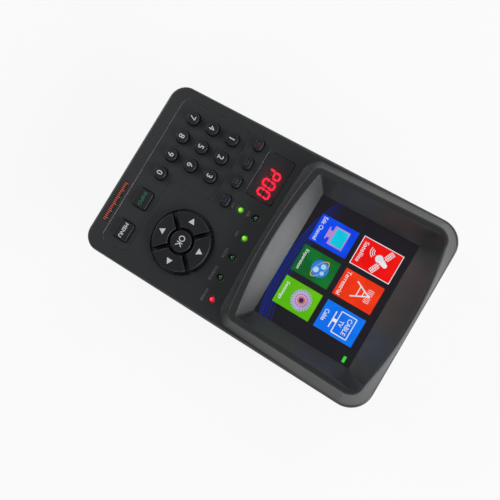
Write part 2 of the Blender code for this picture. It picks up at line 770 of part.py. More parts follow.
def arrow_outlines(turn):
    """Return the function that draws one arrow key, whose flange leaves out its inner edge."""

    def outline(grown):
        return arrow_outline(turn, grown, min(grown, FIT))

    return outline


def shifted(outline, place):
    """Return an outline moved to its place."""
    return [(x + place[0], y + place[1]) for x, y in outline]


def build_keys(finish):
    """Make the keys, each with its origin on its own line of travel."""
    for name, place, outline, top, _, _ in key_list():
        flange = OK_FLANGE if name == "key_ok" else KEY_FLANGE
        levels = [
            (flange, FLANGE_Z - DECK_Z),
            (flange, FLANGE_TOP_Z - DECK_Z),
            (0, FLANGE_TOP_Z - DECK_Z),
            (0, top - KEY_EDGE),
            (-KEY_EDGE, top),
        ]
        rings = [at_height(outline(grown), z) for grown, z in levels]
        make_object(name, [rings], finish, location=(place[0], place[1], DECK_Z))


def build_key_mat(finish):
    """Make the silicone mat with one dome under each key."""
    near = CASE_POST_KEYPAD_Y + CASE_POST_RADIUS + FIT + MAT_MARGIN
    half_x = KEY_BOARD_HALF_WIDTH - MAT_MARGIN
    half_y = (MAT_FAR - near) / 2
    sheet = rectangle(half_x, half_y, KEY_BOARD_CORNER, 0, near + half_y)
    mat = make_object("key_mat", [prism(sheet, MAT_Z, MAT_TOP_Z)], finish)
    domes = []
    for _, _, _, _, place, radius in key_list():
        profile = [
            (radius + DOME_SLOPE, MAT_Z + MAT_THICKNESS / 2),
            (radius + DOME_SLOPE, MAT_TOP_Z),
            (radius, DOME_TOP_Z),
        ]
        domes.append(turned(profile, place, SMALL_ROUND_STEPS))
    combine(mat, make_cutter("mat_domes", domes), "UNION")
    hole = BOARD_POST_RADIUS + MAT_HOLE_ROOM
    holes = [column(hole, place, MAT_Z - OVERRUN, MAT_TOP_Z + OVERRUN) for place in small_posts()]
    combine(mat, make_cutter("mat_holes", holes), "DIFFERENCE")


def build_key_board(finish):
    """Make the board under the key mat, with its pin holes."""
    near = CASE_POST_KEYPAD_Y + CASE_POST_RADIUS + FIT
    half_y = (KEY_BOARD_FAR - near) / 2
    outline = rectangle(KEY_BOARD_HALF_WIDTH, half_y, KEY_BOARD_CORNER, 0, near + half_y)
    board = make_object("key_board", [prism(outline, KEY_BOARD_Z, KEY_BOARD_TOP_Z)], finish)
    hole = PIN_RADIUS + FIT
    low = KEY_BOARD_Z - OVERRUN
    holes = [column(hole, place, low, KEY_BOARD_TOP_Z + OVERRUN) for place in small_posts()]
    combine(board, make_cutter("key_board_holes", holes), "DIFFERENCE")


def hood_outer():
    """Return the rings of the hood's outer body, from inside the deck to its top plane."""
    return [
        foot_ring(0, DECK_UNDER_Z),
        foot_ring(0, DECK_Z - DECK_EDGE),
        crest_ring(0, CREST_ROUND),
        crest_ring(CREST_ROUND, 0),
    ]


def hood_inner():
    """Return the rings of the hollow inside the hood."""
    return [
        foot_ring(WALL, PARTING_Z - OVERRUN),
        foot_ring(WALL, DECK_Z - DECK_EDGE),
        crest_ring(WALL, CREST_ROUND + WALL),
    ]


def screen_funnel(grown, low):
    """Return the rings of the opening down to the screen, or of the wall round it."""
    return [
        screen_ring(grown, low),
        screen_ring(grown, SCREEN_FRAME_Z),
        rim_ring(grown, RIM_ROUND),
        rim_ring(grown + RIM_ROUND, 0),
        rim_ring(grown + RIM_ROUND, -OVERRUN),
    ]


def build_front_cover(finish):
    """Make the front cover: the deck and the hood in one moulding."""
    rings = [at_height(case_outline(0), PARTING_Z + FIT / 2)]
    for inset, rise in rounded_edge(DECK_EDGE):
        rings.append(at_height(case_outline(inset), DECK_Z - DECK_EDGE + rise))
    cover = make_object("front_cover", [rings], finish)
    combine(cover, make_cutter("hood_outer", [hood_outer()]), "UNION")

    hollow = make_cutter("front_hollow", [prism(case_outline(WALL), PARTING_Z - OVERRUN, DECK_UNDER_Z)])
    combine(hollow, make_cutter("hood_inner", [hood_inner()]), "UNION")
    lip_top = PARTING_Z + LIP_HEIGHT + FIT
    lip_seat = [prism(case_outline(WALL - LIP_WALL - FIT), PARTING_Z - 2 * OVERRUN, lip_top)]
    combine(hollow, make_cutter("lip_seat", lip_seat), "UNION")
    wall = screen_funnel(WALL, SCREEN_FRAME_Z)[1:]
    combine(hollow, make_cutter("funnel_wall", [wall]), "DIFFERENCE")
    hood_top = DECK_Z + HOOD_FAR_RISE
    board_pin = KEY_BOARD_Z - PIN_PROUD
    tray_pin = TRAY_Z - PIN_PROUD
    posts = [column(CASE_POST_RADIUS, place, lip_top, hood_top) for place in case_columns()]
    posts += [pinned_post(place, board_pin, ON_BOARD_Z, DECK_Z) for place in small_posts()]
    posts += [pinned_post(place, tray_pin, TRAY_TOP_Z + FIT, hood_top) for place in tray_posts()]
    combine(hollow, make_cutter("front_posts", posts), "DIFFERENCE")
    combine(cover, hollow, "DIFFERENCE")

    funnel = screen_funnel(0, SCREEN_FRAME_Z - OVERRUN)
    combine(cover, make_cutter("screen_funnel", [funnel]), "DIFFERENCE")
    corners = [
        (RELIEF_LEFT, RELIEF_NEAR),
        (RELIEF_RIGHT, RELIEF_NEAR),
        (RELIEF_RIGHT, RELIEF_STEP_Y),
        (RELIEF_STEP_X, RELIEF_STEP_Y),
        (RELIEF_STEP_X, RELIEF_FAR),
        (RELIEF_LEFT, RELIEF_FAR),
    ]
    outline = rounded(corners, [RELIEF_CORNER] * len(corners), 4)
    panel = prism(outline, DECK_Z - RELIEF_DEPTH, DECK_Z + OVERRUN)
    combine(cover, make_cutter("key_relief", [panel]), "DIFFERENCE")
    recess = [
        (PAD_RECESS_RADIUS - PAD_RECESS_DEPTH, DECK_Z - PAD_RECESS_DEPTH),
        (PAD_RECESS_RADIUS, DECK_Z),
        (PAD_RECESS_RADIUS, DECK_Z + OVERRUN),
    ]
    dish = turned(recess, (PAD_X, PAD_Y), 2 * ROUND_STEPS)
    combine(cover, make_cutter("pad_recess", [dish]), "DIFFERENCE")

    low = DECK_UNDER_Z - OVERRUN
    high = DECK_Z + OVERRUN
    holes = [prism(shifted(outline(FIT), place), low, high) for _, place, outline, _, _, _ in key_list()]
    window = rectangle(
        DIGITS_WINDOW_LENGTH / 2 + FIT,
        DIGITS_WINDOW_WIDTH / 2 + FIT,
        DIGITS_WINDOW_CORNER + FIT,
        DIGITS_WINDOW_X,
        DIGITS_WINDOW_Y,
    )
    holes.append(prism(window, low, high))
    lamp_hole = LAMP_RADIUS + FIT
    profile = [(lamp_hole, low), (lamp_hole, DECK_Z - (LAMP_COUNTERSINK - lamp_hole))]
    profile += [(LAMP_COUNTERSINK, DECK_Z), (LAMP_COUNTERSINK, high)]
    holes += [turned(profile, place, SMALL_ROUND_STEPS) for place in lamp_places().values()]
    combine(cover, make_cutter("deck_holes", holes), "DIFFERENCE")

    bores = [column(CASE_SCREW_RADIUS + FIT, place, PARTING_Z, DECK_UNDER_Z) for place in case_columns()]
    combine(cover, make_cutter("front_bores", bores), "DIFFERENCE")


def lamp_places():
    """Return the indicator lamps' names and centres."""
    return {
        "lamp_tone": (LAMP_LEFT_X, LAMP_ROW_Y),
        "lamp_low_volts": (LAMP_LEFT_X, LAMP_LOW_Y),
        "lamp_high_volts": (LAMP_LEFT_X + LAMP_PITCH, LAMP_ROW_Y),
        "lamp_lock": (LAMP_LEFT_X + 2 * LAMP_PITCH, LAMP_ROW_Y),
        "lamp_charge": (LAMP_LEFT_X + 3 * LAMP_PITCH, LAMP_ROW_Y),
        "lamp_power": (LAMP_LAST_X, LAMP_LAST_Y),
    }


def build_display(finishes):
    """Make the red display, its window and the indicator lamps."""
    place = (DIGITS_WINDOW_X, DIGITS_WINDOW_Y)
    half_x = DIGITS_WINDOW_LENGTH / 2
    half_y = DIGITS_WINDOW_WIDTH / 2
    top = DECK_Z - DIGITS_WINDOW_SINK
    flange = DIGITS_WINDOW_FLANGE

    def window(grown):
        return rectangle(half_x + grown, half_y + grown, DIGITS_WINDOW_CORNER + grown, *place)

    rings = [
        at_height(window(flange), FLANGE_TOP_Z - DIGITS_WINDOW_FLANGE_THICKNESS),
        at_height(window(flange), FLANGE_TOP_Z),
        at_height(window(0), FLANGE_TOP_Z),
        at_height(window(0), top),
    ]
    make_object("display_window", [rings], finishes["smoked"])
    module = rectangle(
        half_x - DIGITS_MODULE_BORDER, half_y - DIGITS_MODULE_BORDER, DIGITS_WINDOW_CORNER, *place
    )
    module_top = FLANGE_TOP_Z - DIGITS_WINDOW_FLANGE_THICKNESS - FIT
    make_object("digit_display", [prism(module, ON_BOARD_Z, module_top)], finishes["black"])

    for name, lamp_place in lamp_places().items():
        tip = DECK_Z - ON_BOARD_Z
        profile = [
            (LAMP_RADIUS + LAMP_FLANGE, 0),
            (LAMP_RADIUS + LAMP_FLANGE, LAMP_FLANGE_THICKNESS),
            (LAMP_RADIUS, LAMP_FLANGE_THICKNESS),
            (LAMP_RADIUS, tip - LAMP_RADIUS),
            (LAMP_RADIUS * math.cos(math.radians(40)), tip - LAMP_RADIUS * (1 - math.sin(math.radians(40)))),
            (LAMP_RADIUS * math.cos(math.radians(75)), tip - LAMP_RADIUS * (1 - math.sin(math.radians(75)))),
        ]
        tint = finishes["red_lens"] if name == "lamp_power" else finishes["green_lens"]
        rings = turned(profile, steps=SMALL_ROUND_STEPS)
        make_object(name, [rings], tint, location=(*lamp_place, ON_BOARD_Z))


def build_screen(finishes):
    """Make the screen's window, its tray, and its panel with the flexible tail."""
    half_x = SCREEN_WIDTH / 2 + GLASS_OVERLAP
    half_y = SCREEN_HEIGHT / 2 + GLASS_OVERLAP
    glass = rectangle(half_x, half_y, SCREEN_CORNER, 0, SCREEN_Y)
    low = GLASS_TOP_Z - GLASS_THICKNESS
    make_object("screen_window", [prism(glass, low, GLASS_TOP_Z)], finishes["glass"])
    half_x = PANEL_WIDTH / 2
    half_y = PANEL_HEIGHT / 2
    panel = block(-half_x, half_x, SCREEN_Y - half_y, SCREEN_Y + half_y, PANEL_Z, PANEL_TOP_Z)
    screen = make_object("screen_panel", [panel], finishes["black"])

    inside_x = half_x + FIT
    inside_y = half_y + FIT
    outside_x = inside_x + TRAY_WALL
    outside_y = inside_y + TRAY_WALL
    near = SCREEN_Y - outside_y
    far = SCREEN_Y + outside_y
    tray = make_object(
        "screen_tray",
        [block(-outside_x, outside_x, near, far, TRAY_Z, GLASS_TOP_Z - GLASS_THICKNESS)],
        finishes["steel"],
    )
    ears = []
    for x, y in tray_posts():
        side = math.copysign(1, x)
        low, high = sorted((side * (outside_x - TRAY_WALL), x + side * TRAY_EAR / 2))
        ears.append(block(low, high, y - TRAY_EAR / 2, y + TRAY_EAR / 2, TRAY_Z, TRAY_TOP_Z))
    combine(tray, make_cutter("tray_ears", ears), "UNION")
    well = block(-inside_x, inside_x, SCREEN_Y - inside_y, SCREEN_Y + inside_y, TRAY_TOP_Z, DECK_Z)
    combine(tray, make_cutter("tray_well", [well]), "DIFFERENCE")
    notch_half = RIBBON_WIDTH / 2 + 2 * FIT
    notch = block(-notch_half, notch_half, near - OVERRUN, near + TRAY_WALL + FIT, TRAY_TOP_Z, DECK_Z)
    combine(tray, make_cutter("tray_notch", [notch]), "DIFFERENCE")
    hole = PIN_RADIUS + FIT
    holes = [column(hole, place, TRAY_Z - OVERRUN, TRAY_TOP_Z + OVERRUN) for place in tray_posts()]
    combine(tray, make_cutter("tray_holes", holes), "DIFFERENCE")

    high = PANEL_Z + FIT + RIBBON_THICKNESS
    low = MAIN_BOARD_TOP_Z + FIT + RIBBON_THICKNESS / 2
    bend = (high - low) / 2
    start = SCREEN_Y - half_y
    turn_y = start - RIBBON_RUN
    path = [(start + RIBBON_RUN, high)]
    for step in range(RIBBON_STEPS + 1):
        angle = math.pi / 2 + math.pi * step / RIBBON_STEPS
        path.append((turn_y + bend * math.cos(angle), high - bend + bend * math.sin(angle)))
    path.append((start + RIBBON_END, low))
    strip = strip_outline(path, RIBBON_THICKNESS)
    half = RIBBON_WIDTH / 2
    tail = make_cutter("screen_tail", [prism(strip, -half, half)], turn=RIGHTWARD)
    combine(screen, tail, "UNION")


def strip_outline(path, thickness):
    """Return the outline of a strip of one thickness along a path."""
    left = []
    right = []
    for index, point in enumerate(path):
        here = Vector(point)
        back = Vector(path[max(index - 1, 0)])
        ahead = Vector(path[min(index + 1, len(path) - 1)])
        along = (ahead - back).normalized()
        across = Vector((-along.y, along.x)) * thickness / 2
        left.append(tuple(here + across))
        right.append(tuple(here - across))
    return right + list(reversed(left))


def build_key_cable(finish):
    """Make the flat cable from under the key board to the top of the main board."""
    high = KEY_BOARD_Z - FIT - RIBBON_THICKNESS / 2
    low = MAIN_BOARD_TOP_Z + FIT + RIBBON_THICKNESS / 2
    path = [
        (KEY_BOARD_FAR - KEY_CABLE_LAP, high),
        (KEY_BOARD_FAR, high),
        (MAIN_BOARD_NEAR, low),
        (MAIN_BOARD_NEAR + KEY_CABLE_LAP, low),
    ]
    strip = strip_outline(path, RIBBON_THICKNESS)
    rings = prism(strip, KEY_CABLE_X - KEY_CABLE_WIDTH / 2, KEY_CABLE_X + KEY_CABLE_WIDTH / 2)
    make_object("keypad_cable", [rings], finish, turn=RIGHTWARD)


def back_shape():
    """Return the rings of the back cover's outer shape."""
    rings = []
    for inset, rise in reversed(rounded_edge(BACK_EDGE)):
        rings.append(at_height(case_outline(inset), BACK_Z + BACK_EDGE - rise))
    rings.append(at_height(case_outline(0), PARTING_Z - FIT / 2))
    return rings


def build_back_cover(finish):
    """Make the back cover with its battery bay, connector bay, posts and grilles."""
    cover = make_object("back_cover", [back_shape()], finish)
    lip_z = PARTING_Z - 2 * LIP_HEIGHT
    lip = prism(case_outline(WALL - LIP_WALL), lip_z, PARTING_Z + LIP_HEIGHT)
    combine(cover, make_cutter("cover_lip", [lip]), "UNION")

    top = PARTING_Z + LIP_HEIGHT + OVERRUN
    hollow = make_cutter("back_hollow", [prism(case_outline(WALL), FLOOR_Z, top)])
    low = FLOOR_Z - OVERRUN
    bay_half = BAY_HALF_WIDTH + BAY_WALL
    end = HALF_LENGTH + OVERRUN
    kept = [block(-bay_half, bay_half, -end, BAY_FAR + BAY_WALL, low, BAY_CEILING_Z + BAY_WALL)]
    half = CONNECTOR_BAY_HALF_WIDTH + BAY_WALL
    kept.append(block(-half, half, CONNECTOR_WALL_BACK_Y, end, low, CONNECTOR_BAY_CEILING_Z + BAY_WALL))
    kept += [column(CASE_POST_RADIUS, place, low, PARTING_Z + LIP_HEIGHT) for place in case_columns()]
    profile = [
        (MAIN_POST_RADIUS, low),
        (MAIN_POST_RADIUS, UNDER_MAIN_Z),
        (PIN_RADIUS, UNDER_MAIN_Z),
        (PIN_RADIUS, MAIN_BOARD_TOP_Z + PIN_PROUD),
    ]
    kept += [turned(profile, place, SMALL_ROUND_STEPS) for place in main_posts()]
    ring = SPEAKER_RADIUS + FIT + SPEAKER_RING_WALL
    speaker_place = (SPEAKER_X, SPEAKER_Y)
    ring_top = FLOOR_Z + SPEAKER_RING_HEIGHT
    kept.append(column(ring, speaker_place, low, ring_top, ROUND_STEPS))
    combine(hollow, make_cutter("back_kept", kept), "DIFFERENCE")
    combine(cover, hollow, "DIFFERENCE")

    half = BAY_HALF_WIDTH
    cuts = [block(-half, half, BAY_NEAR_WALL - HALF_LENGTH, BAY_FAR, FLOOR_Z, BAY_CEILING_Z)]
    half = CONNECTOR_BAY_HALF_WIDTH
    cuts.append(block(-half, half, CONNECTOR_WALL_Y, end, BACK_Z - OVERRUN, CONNECTOR_BAY_CEILING_Z))
    cuts.append(column(SPEAKER_RADIUS + FIT, speaker_place, FLOOR_Z, ring_top + OVERRUN, ROUND_STEPS))
    combine(cover, make_cutter("back_pockets", cuts), "DIFFERENCE")

    door_half = DOOR_HALF_WIDTH + FIT
    plate = block(-door_half, door_half, -end, BAY_FAR, BACK_Z - OVERRUN, FLOOR_Z + FIT)
    combine(cover, make_cutter("door_opening", [plate]), "DIFFERENCE")
    tongue_half = DOOR_HALF_WIDTH + DOOR_TONGUE_REACH + FIT
    tongue_top = FLOOR_Z + FIT + DOOR_TONGUE + FIT
    tongue_end = BAY_NEAR_WALL - HALF_LENGTH + OVERRUN
    tongue = block(-tongue_half, tongue_half, -end, tongue_end, FLOOR_Z, tongue_top)
    combine(cover, make_cutter("door_tongue_way", [tongue]), "DIFFERENCE")

    bores = [
        column(CASE_SCREW_RADIUS + FIT, place, BACK_Z - OVERRUN, PARTING_Z + LIP_HEIGHT + OVERRUN)
        for place in case_columns()
    ]
    combine(cover, make_cutter("case_bores", bores), "DIFFERENCE")
    head = CASE_SCREW_HEAD_RADIUS + FIT
    seat = BACK_Z + CASE_SCREW_HEAD_SINK + CASE_SCREW_HEAD_HEIGHT + FIT
    seats = [column(head, place, BACK_Z - OVERRUN, seat) for place in case_columns()]
    foot_seat = FOOT_RADIUS + FIT
    slit_low = BACK_Z - OVERRUN
    foot_top = BACK_Z + FOOT_SEAT
    seats += [column(foot_seat, place, slit_low, foot_top, ROUND_STEPS) for place in foot_places()]
    slit_high = FLOOR_Z + OVERRUN
    seats += grille_slots(slit_low, slit_high)
    half = VENT_WIDTH / 2
    for index in range(VENT_COUNT):
        x = VENT_X + (index - (VENT_COUNT - 1) / 2) * VENT_PITCH
        outline = rectangle(half, VENT_LENGTH / 2, half * SLOT_END_SHARE, x, VENT_Y, steps=2)
        seats.append(prism(outline, slit_low, slit_high))
    combine(cover, make_cutter("back_holes", seats), "DIFFERENCE")
    combine(cover, make_cutter("socket_holes", socket_holes()), "DIFFERENCE")


def grille_slots(low, high):
    """Return the slots in front of the speaker, cut to a circle."""
    slots = []
    for index in range(GRILLE_SLOT_COUNT):
        off = (index - (GRILLE_SLOT_COUNT - 1) / 2) * GRILLE_SLOT_PITCH
        half = math.sqrt(SPEAKER_CONE_RADIUS**2 - off**2)
        end = GRILLE_SLOT_WIDTH / 2 * SLOT_END_SHARE
        outline = rectangle(half, GRILLE_SLOT_WIDTH / 2, end, SPEAKER_X, SPEAKER_Y + off, steps=2)
        slots.append(prism(outline, low, high))
    return slots


def foot_places():
    """Return the centres of the four feet."""
    return [(side * FOOT_X, y) for side in (-1, 1) for y in (FOOT_NEAR_Y, FOOT_FAR_Y)]


def barrel_places():
    """Return the aerial sockets' names and their places along the connector bay."""
    return {"satellite_input": SATELLITE_IN_X, "loop_output": LOOP_OUT_X, "aerial_input": AERIAL_IN_X}


def side_sockets():
    """Return each side socket's name, side, place along the side, width and height."""
    return {
        "data_port": (-1, DATA_PORT_Y, DATA_PORT_WIDTH, DATA_PORT_HEIGHT),
        "picture_port": (-1, PICTURE_PORT_Y, PICTURE_PORT_WIDTH, PICTURE_PORT_HEIGHT),
        "power_jack": (1, POWER_JACK_Y, POWER_JACK_WIDTH, POWER_JACK_HEIGHT),
        "audio_jack": (1, AUDIO_JACK_Y, AUDIO_JACK_WIDTH, AUDIO_JACK_HEIGHT),
    }


def socket_holes():
    """Return the openings in the back cover for the sockets and the switch knob."""
    holes = []
    for side, y, width, height in side_sockets().values():
        low, high = sorted((side * (HALF_WIDTH + OVERRUN), side * (HALF_WIDTH - WALL - OVERRUN)))
        half = width / 2 + FIT
        bottom = UNDER_MAIN_Z - height - FIT
        holes.append(block(low, high, y - half, y + half, bottom, UNDER_MAIN_Z + FIT))
    depth_low = CONNECTOR_WALL_BACK_Y - OVERRUN
    depth_high = CONNECTOR_WALL_Y + OVERRUN
    for x in barrel_places().values():
        outline = circle(BARREL_RADIUS + FIT, x, -BARREL_Z)
        holes.append([[(px, z, -py) for px, py in outline] for z in (depth_low, depth_high)])
    slot_low = SWITCH_X - KNOB_LENGTH / 2 - KNOB_TRAVEL / 2 - FIT
    slot_high = SWITCH_X + KNOB_LENGTH / 2 + KNOB_TRAVEL / 2 + FIT
    half = KNOB_HEIGHT / 2 + FIT
    holes.append(block(slot_low, slot_high, depth_low, depth_high, BARREL_Z - half, BARREL_Z + half))
    lead_low = BAY_FAR - OVERRUN
    lead_high = BAY_FAR + BAY_WALL + OVERRUN
    outline = circle(LEAD_HOLE_RADIUS, 0, -lead_height(), SMALL_ROUND_STEPS)
    holes.append([[(px, z, -py) for px, py in outline] for z in (lead_low, lead_high)])
    return holes


def lead_height():
    """Return the height at which the leads leave the battery pack."""
    return (FLOOR_Z + 3 * FIT + DOOR_TONGUE + BAY_CEILING_Z) / 2


def build_battery(finishes):
    """Make the battery door, and the pack with its leads and plug."""
    near = -HALF_LENGTH - OVERRUN
    far = BAY_FAR - FIT
    half = DOOR_HALF_WIDTH
    tongue_z = FLOOR_Z + FIT
    plate = block(-half, half, near, far, BACK_Z - OVERRUN, tongue_z + DOOR_TONGUE)
    door = make_object("battery_door", [plate], finishes["case"])
    wide = DOOR_HALF_WIDTH + DOOR_TONGUE_REACH
    tongue = block(-wide, wide, near, far, tongue_z, tongue_z + DOOR_TONGUE)
    combine(door, make_cutter("door_tongue", [tongue]), "UNION")
    combine(door, make_cutter("door_shape", [back_shape()]), "INTERSECT")
    grips = []
    half_x = DOOR_GRIP_LENGTH / 2
    half_y = DOOR_GRIP_WIDTH / 2
    groove_top = BACK_Z + DOOR_GRIP_DEPTH
    for index in range(DOOR_GRIP_COUNT):
        y = DOOR_GRIP_Y + index * DOOR_GRIP_PITCH
        grips.append(block(-half_x, half_x, y - half_y, y + half_y, BACK_Z - OVERRUN, groove_top))
    combine(door, make_cutter("door_grip", grips), "DIFFERENCE")

    pack_low = tongue_z + DOOR_TONGUE + FIT
    half_x = BAY_HALF_WIDTH - PACK_SIDE_ROOM
    pack_near = BAY_NEAR_WALL - HALF_LENGTH + PACK_SIDE_ROOM
    pack_far = BAY_FAR - PACK_SIDE_ROOM
    half_y = (pack_far - pack_near) / 2
    outline = rectangle(half_x, half_y, PACK_CORNER, 0, pack_near + half_y)
    pack = make_object("battery_pack", [prism(outline, pack_low, BAY_CEILING_Z - FIT)], finishes["wrap"])
    plug_low = UNDER_MAIN_Z - PLUG_HEIGHT
    half_y = PLUG_WIDTH / 2
    half_x = PLUG_LENGTH / 2
    plug = block(-half_x, half_x, PLUG_Y - half_y, PLUG_Y + half_y, plug_low, UNDER_MAIN_Z)
    combine(pack, make_cutter("battery_plug", [plug]), "UNION")
    start = pack_far - LEAD_THICKNESS
    end = PLUG_Y
    rise = (plug_low + UNDER_MAIN_Z) / 2 - lead_height()
    twin = rectangle(LEAD_WIDTH / 2, LEAD_THICKNESS / 2, LEAD_THICKNESS * LEAD_ROUND_SHARE, steps=2)
    rings = []
    for step in range(LEAD_STEPS + 1):
        share = step / LEAD_STEPS
        z = lead_height() + rise * share * share * (3 - 2 * share)
        rings.append([(x, start + (end - start) * share, z + across) for x, across in twin])
    combine(pack, make_cutter("battery_leads", [rings]), "UNION")


def build_feet(finish):
    """Make the four rubber feet in their seats."""
    top = BACK_Z + FOOT_SEAT - FIT
    chamfer = FOOT_STAND / 3
    profile = [(FOOT_RADIUS - chamfer, 0), (FOOT_RADIUS, chamfer), (FOOT_RADIUS, top)]
    for name, place in zip(("left_keypad", "left_head", "right_keypad", "right_head"), foot_places()):
        make_object("foot_" + name, [turned(profile, place)], finish)


def build_screws(finish):
    """Make the four case screws, their heads down in the back cover."""
    low = BACK_Z + CASE_SCREW_HEAD_SINK
    tip = PARTING_Z + LIP_HEIGHT + CASE_SCREW_BITE
    head = CASE_SCREW_HEAD_RADIUS
    height = CASE_SCREW_HEAD_HEIGHT
    drive = head * SCREW_DRIVE_SHARE
    profile = [
        (drive, low + height * SCREW_DRIVE_SHARE),
        (drive, low),
        (head, low),
        (head, low + height),
        (CASE_SCREW_RADIUS, low + height),
        (CASE_SCREW_RADIUS, tip),
    ]
    names = ("left_keypad", "left_head", "right_keypad", "right_head")
    for name, place in zip(names, case_columns()):
        make_object("case_screw_" + name, [turned(profile, place, SMALL_ROUND_STEPS)], finish)


def build_main_board(finishes):
    """Make the main board with its chips, the two tuners and the speaker."""
    half_x = MAIN_BOARD_HALF_WIDTH
    outline_low = MAIN_BOARD_NEAR
    outline_high = CONNECTOR_WALL_BACK_Y - FIT
    board = make_object(
        "main_board",
        [block(-half_x, half_x, outline_low, outline_high, MAIN_BOARD_Z, MAIN_BOARD_TOP_Z)],
        finishes["board"],
    )
    chips = []
    inside = MAIN_BOARD_Z + BOARD_THICKNESS / 2
    for x, y, size in ((PROCESSOR_X, PROCESSOR_Y, PROCESSOR_SIZE), (MEMORY_X, MEMORY_Y, MEMORY_SIZE)):
        low = MAIN_BOARD_Z - CHIP_THICKNESS
        chips.append(block(x - size / 2, x + size / 2, y - size / 2, y + size / 2, low, inside))
    combine(board, make_cutter("board_chips", chips), "UNION")
    hole = PIN_RADIUS + FIT
    low = MAIN_BOARD_Z - OVERRUN
    holes = [column(hole, place, low, MAIN_BOARD_TOP_Z + OVERRUN) for place in main_posts()]
    combine(board, make_cutter("main_board_holes", holes), "DIFFERENCE")

    spans = {
        "satellite_tuner": (SATELLITE_TUNER_LEFT, SATELLITE_TUNER_RIGHT),
        "aerial_tuner": (AERIAL_TUNER_LEFT, AERIAL_TUNER_RIGHT),
    }
    for name, (left, right) in spans.items():
        half_x = (right - left) / 2
        half_y = TUNER_LENGTH / 2
        rings = []
        low = UNDER_MAIN_Z - TUNER_HEIGHT
        for inset, z in ((TUNER_FRAME, low + TUNER_FRAME), (TUNER_FRAME, low), (0, low), (0, UNDER_MAIN_Z)):
            x = (left + right) / 2
            y = TUNER_FAR - half_y
            rings.append(at_height(rectangle(half_x - inset, half_y - inset, TUNER_FRAME, x, y, 1), z))
        make_object(name, [rings], finishes["tin"])

    low = FLOOR_Z + FIT
    cone = SPEAKER_CONE_RADIUS
    profile = [
        (cone / 3, low + SPEAKER_CONE_DEPTH),
        (cone, low),
        (SPEAKER_RADIUS, low),
        (SPEAKER_RADIUS, low + SPEAKER_DEPTH / 2),
        (cone * MAGNET_SHARE, low + SPEAKER_DEPTH / 2),
        (cone * MAGNET_SHARE, low + SPEAKER_DEPTH),
    ]
    make_object("speaker", [turned(profile, (SPEAKER_X, SPEAKER_Y))], finishes["black"])


def build_aerial_sockets(finish):
    """Make the aerial sockets, each with its hexagon against the connector bay's wall."""
    start = TUNER_FAR + FIT
    reach = CONNECTOR_WALL_Y + BARREL_REACH - start
    seat = CONNECTOR_WALL_Y + FIT - start
    profile = [
        (BARREL_RADIUS, 0),
        (BARREL_RADIUS, reach),
        (BARREL_BORE, reach),
        (BARREL_BORE, reach - BARREL_BORE_DEPTH),
    ]
    for name, x in barrel_places().items():
        place = (x, start, BARREL_Z)
        socket = make_object(name, [turned(profile)], finish, location=place, turn=HEADWARD)
        hexagon = circle(BARREL_NUT_FLATS / math.sqrt(3), steps=6)
        nut = make_cutter(name + "_nut", [prism(hexagon, seat, seat + BARREL_NUT_THICKNESS)], turn=HEADWARD)
        nut.location = place
        combine(socket, nut, "UNION")


def build_switch(finishes):
    """Make the power switch and its sliding knob."""
    front = TUNER_FAR
    back = front - SWITCH_BODY_DEPTH
    half_x = SWITCH_BODY_LENGTH / 2
    half_z = SWITCH_BODY_HEIGHT / 2
    body = make_object(
        "power_switch",
        [block(SWITCH_X - half_x, SWITCH_X + half_x, back, front, BARREL_Z - half_z, UNDER_MAIN_Z)],
        finishes["tin"],
    )
    half_x = KNOB_LENGTH / 2 + KNOB_TRAVEL / 2 + FIT
    half_z = KNOB_HEIGHT / 2 + FIT
    floor = front - SWITCH_POCKET_DEPTH
    pocket = block(
        SWITCH_X - half_x, SWITCH_X + half_x, floor, front + OVERRUN, BARREL_Z - half_z, BARREL_Z + half_z
    )
    combine(body, make_cutter("switch_pocket", [pocket]), "DIFFERENCE")
    half_x = KNOB_LENGTH / 2
    half_z = KNOB_HEIGHT / 2
    length = CONNECTOR_WALL_Y + KNOB_REACH - floor - FIT
    knob = block(-half_x, half_x, 0, length, -half_z, half_z)
    place = (SWITCH_X - KNOB_TRAVEL / 2, floor + FIT, BARREL_Z)
    make_object("switch_knob", [knob], finishes["black"], location=place)


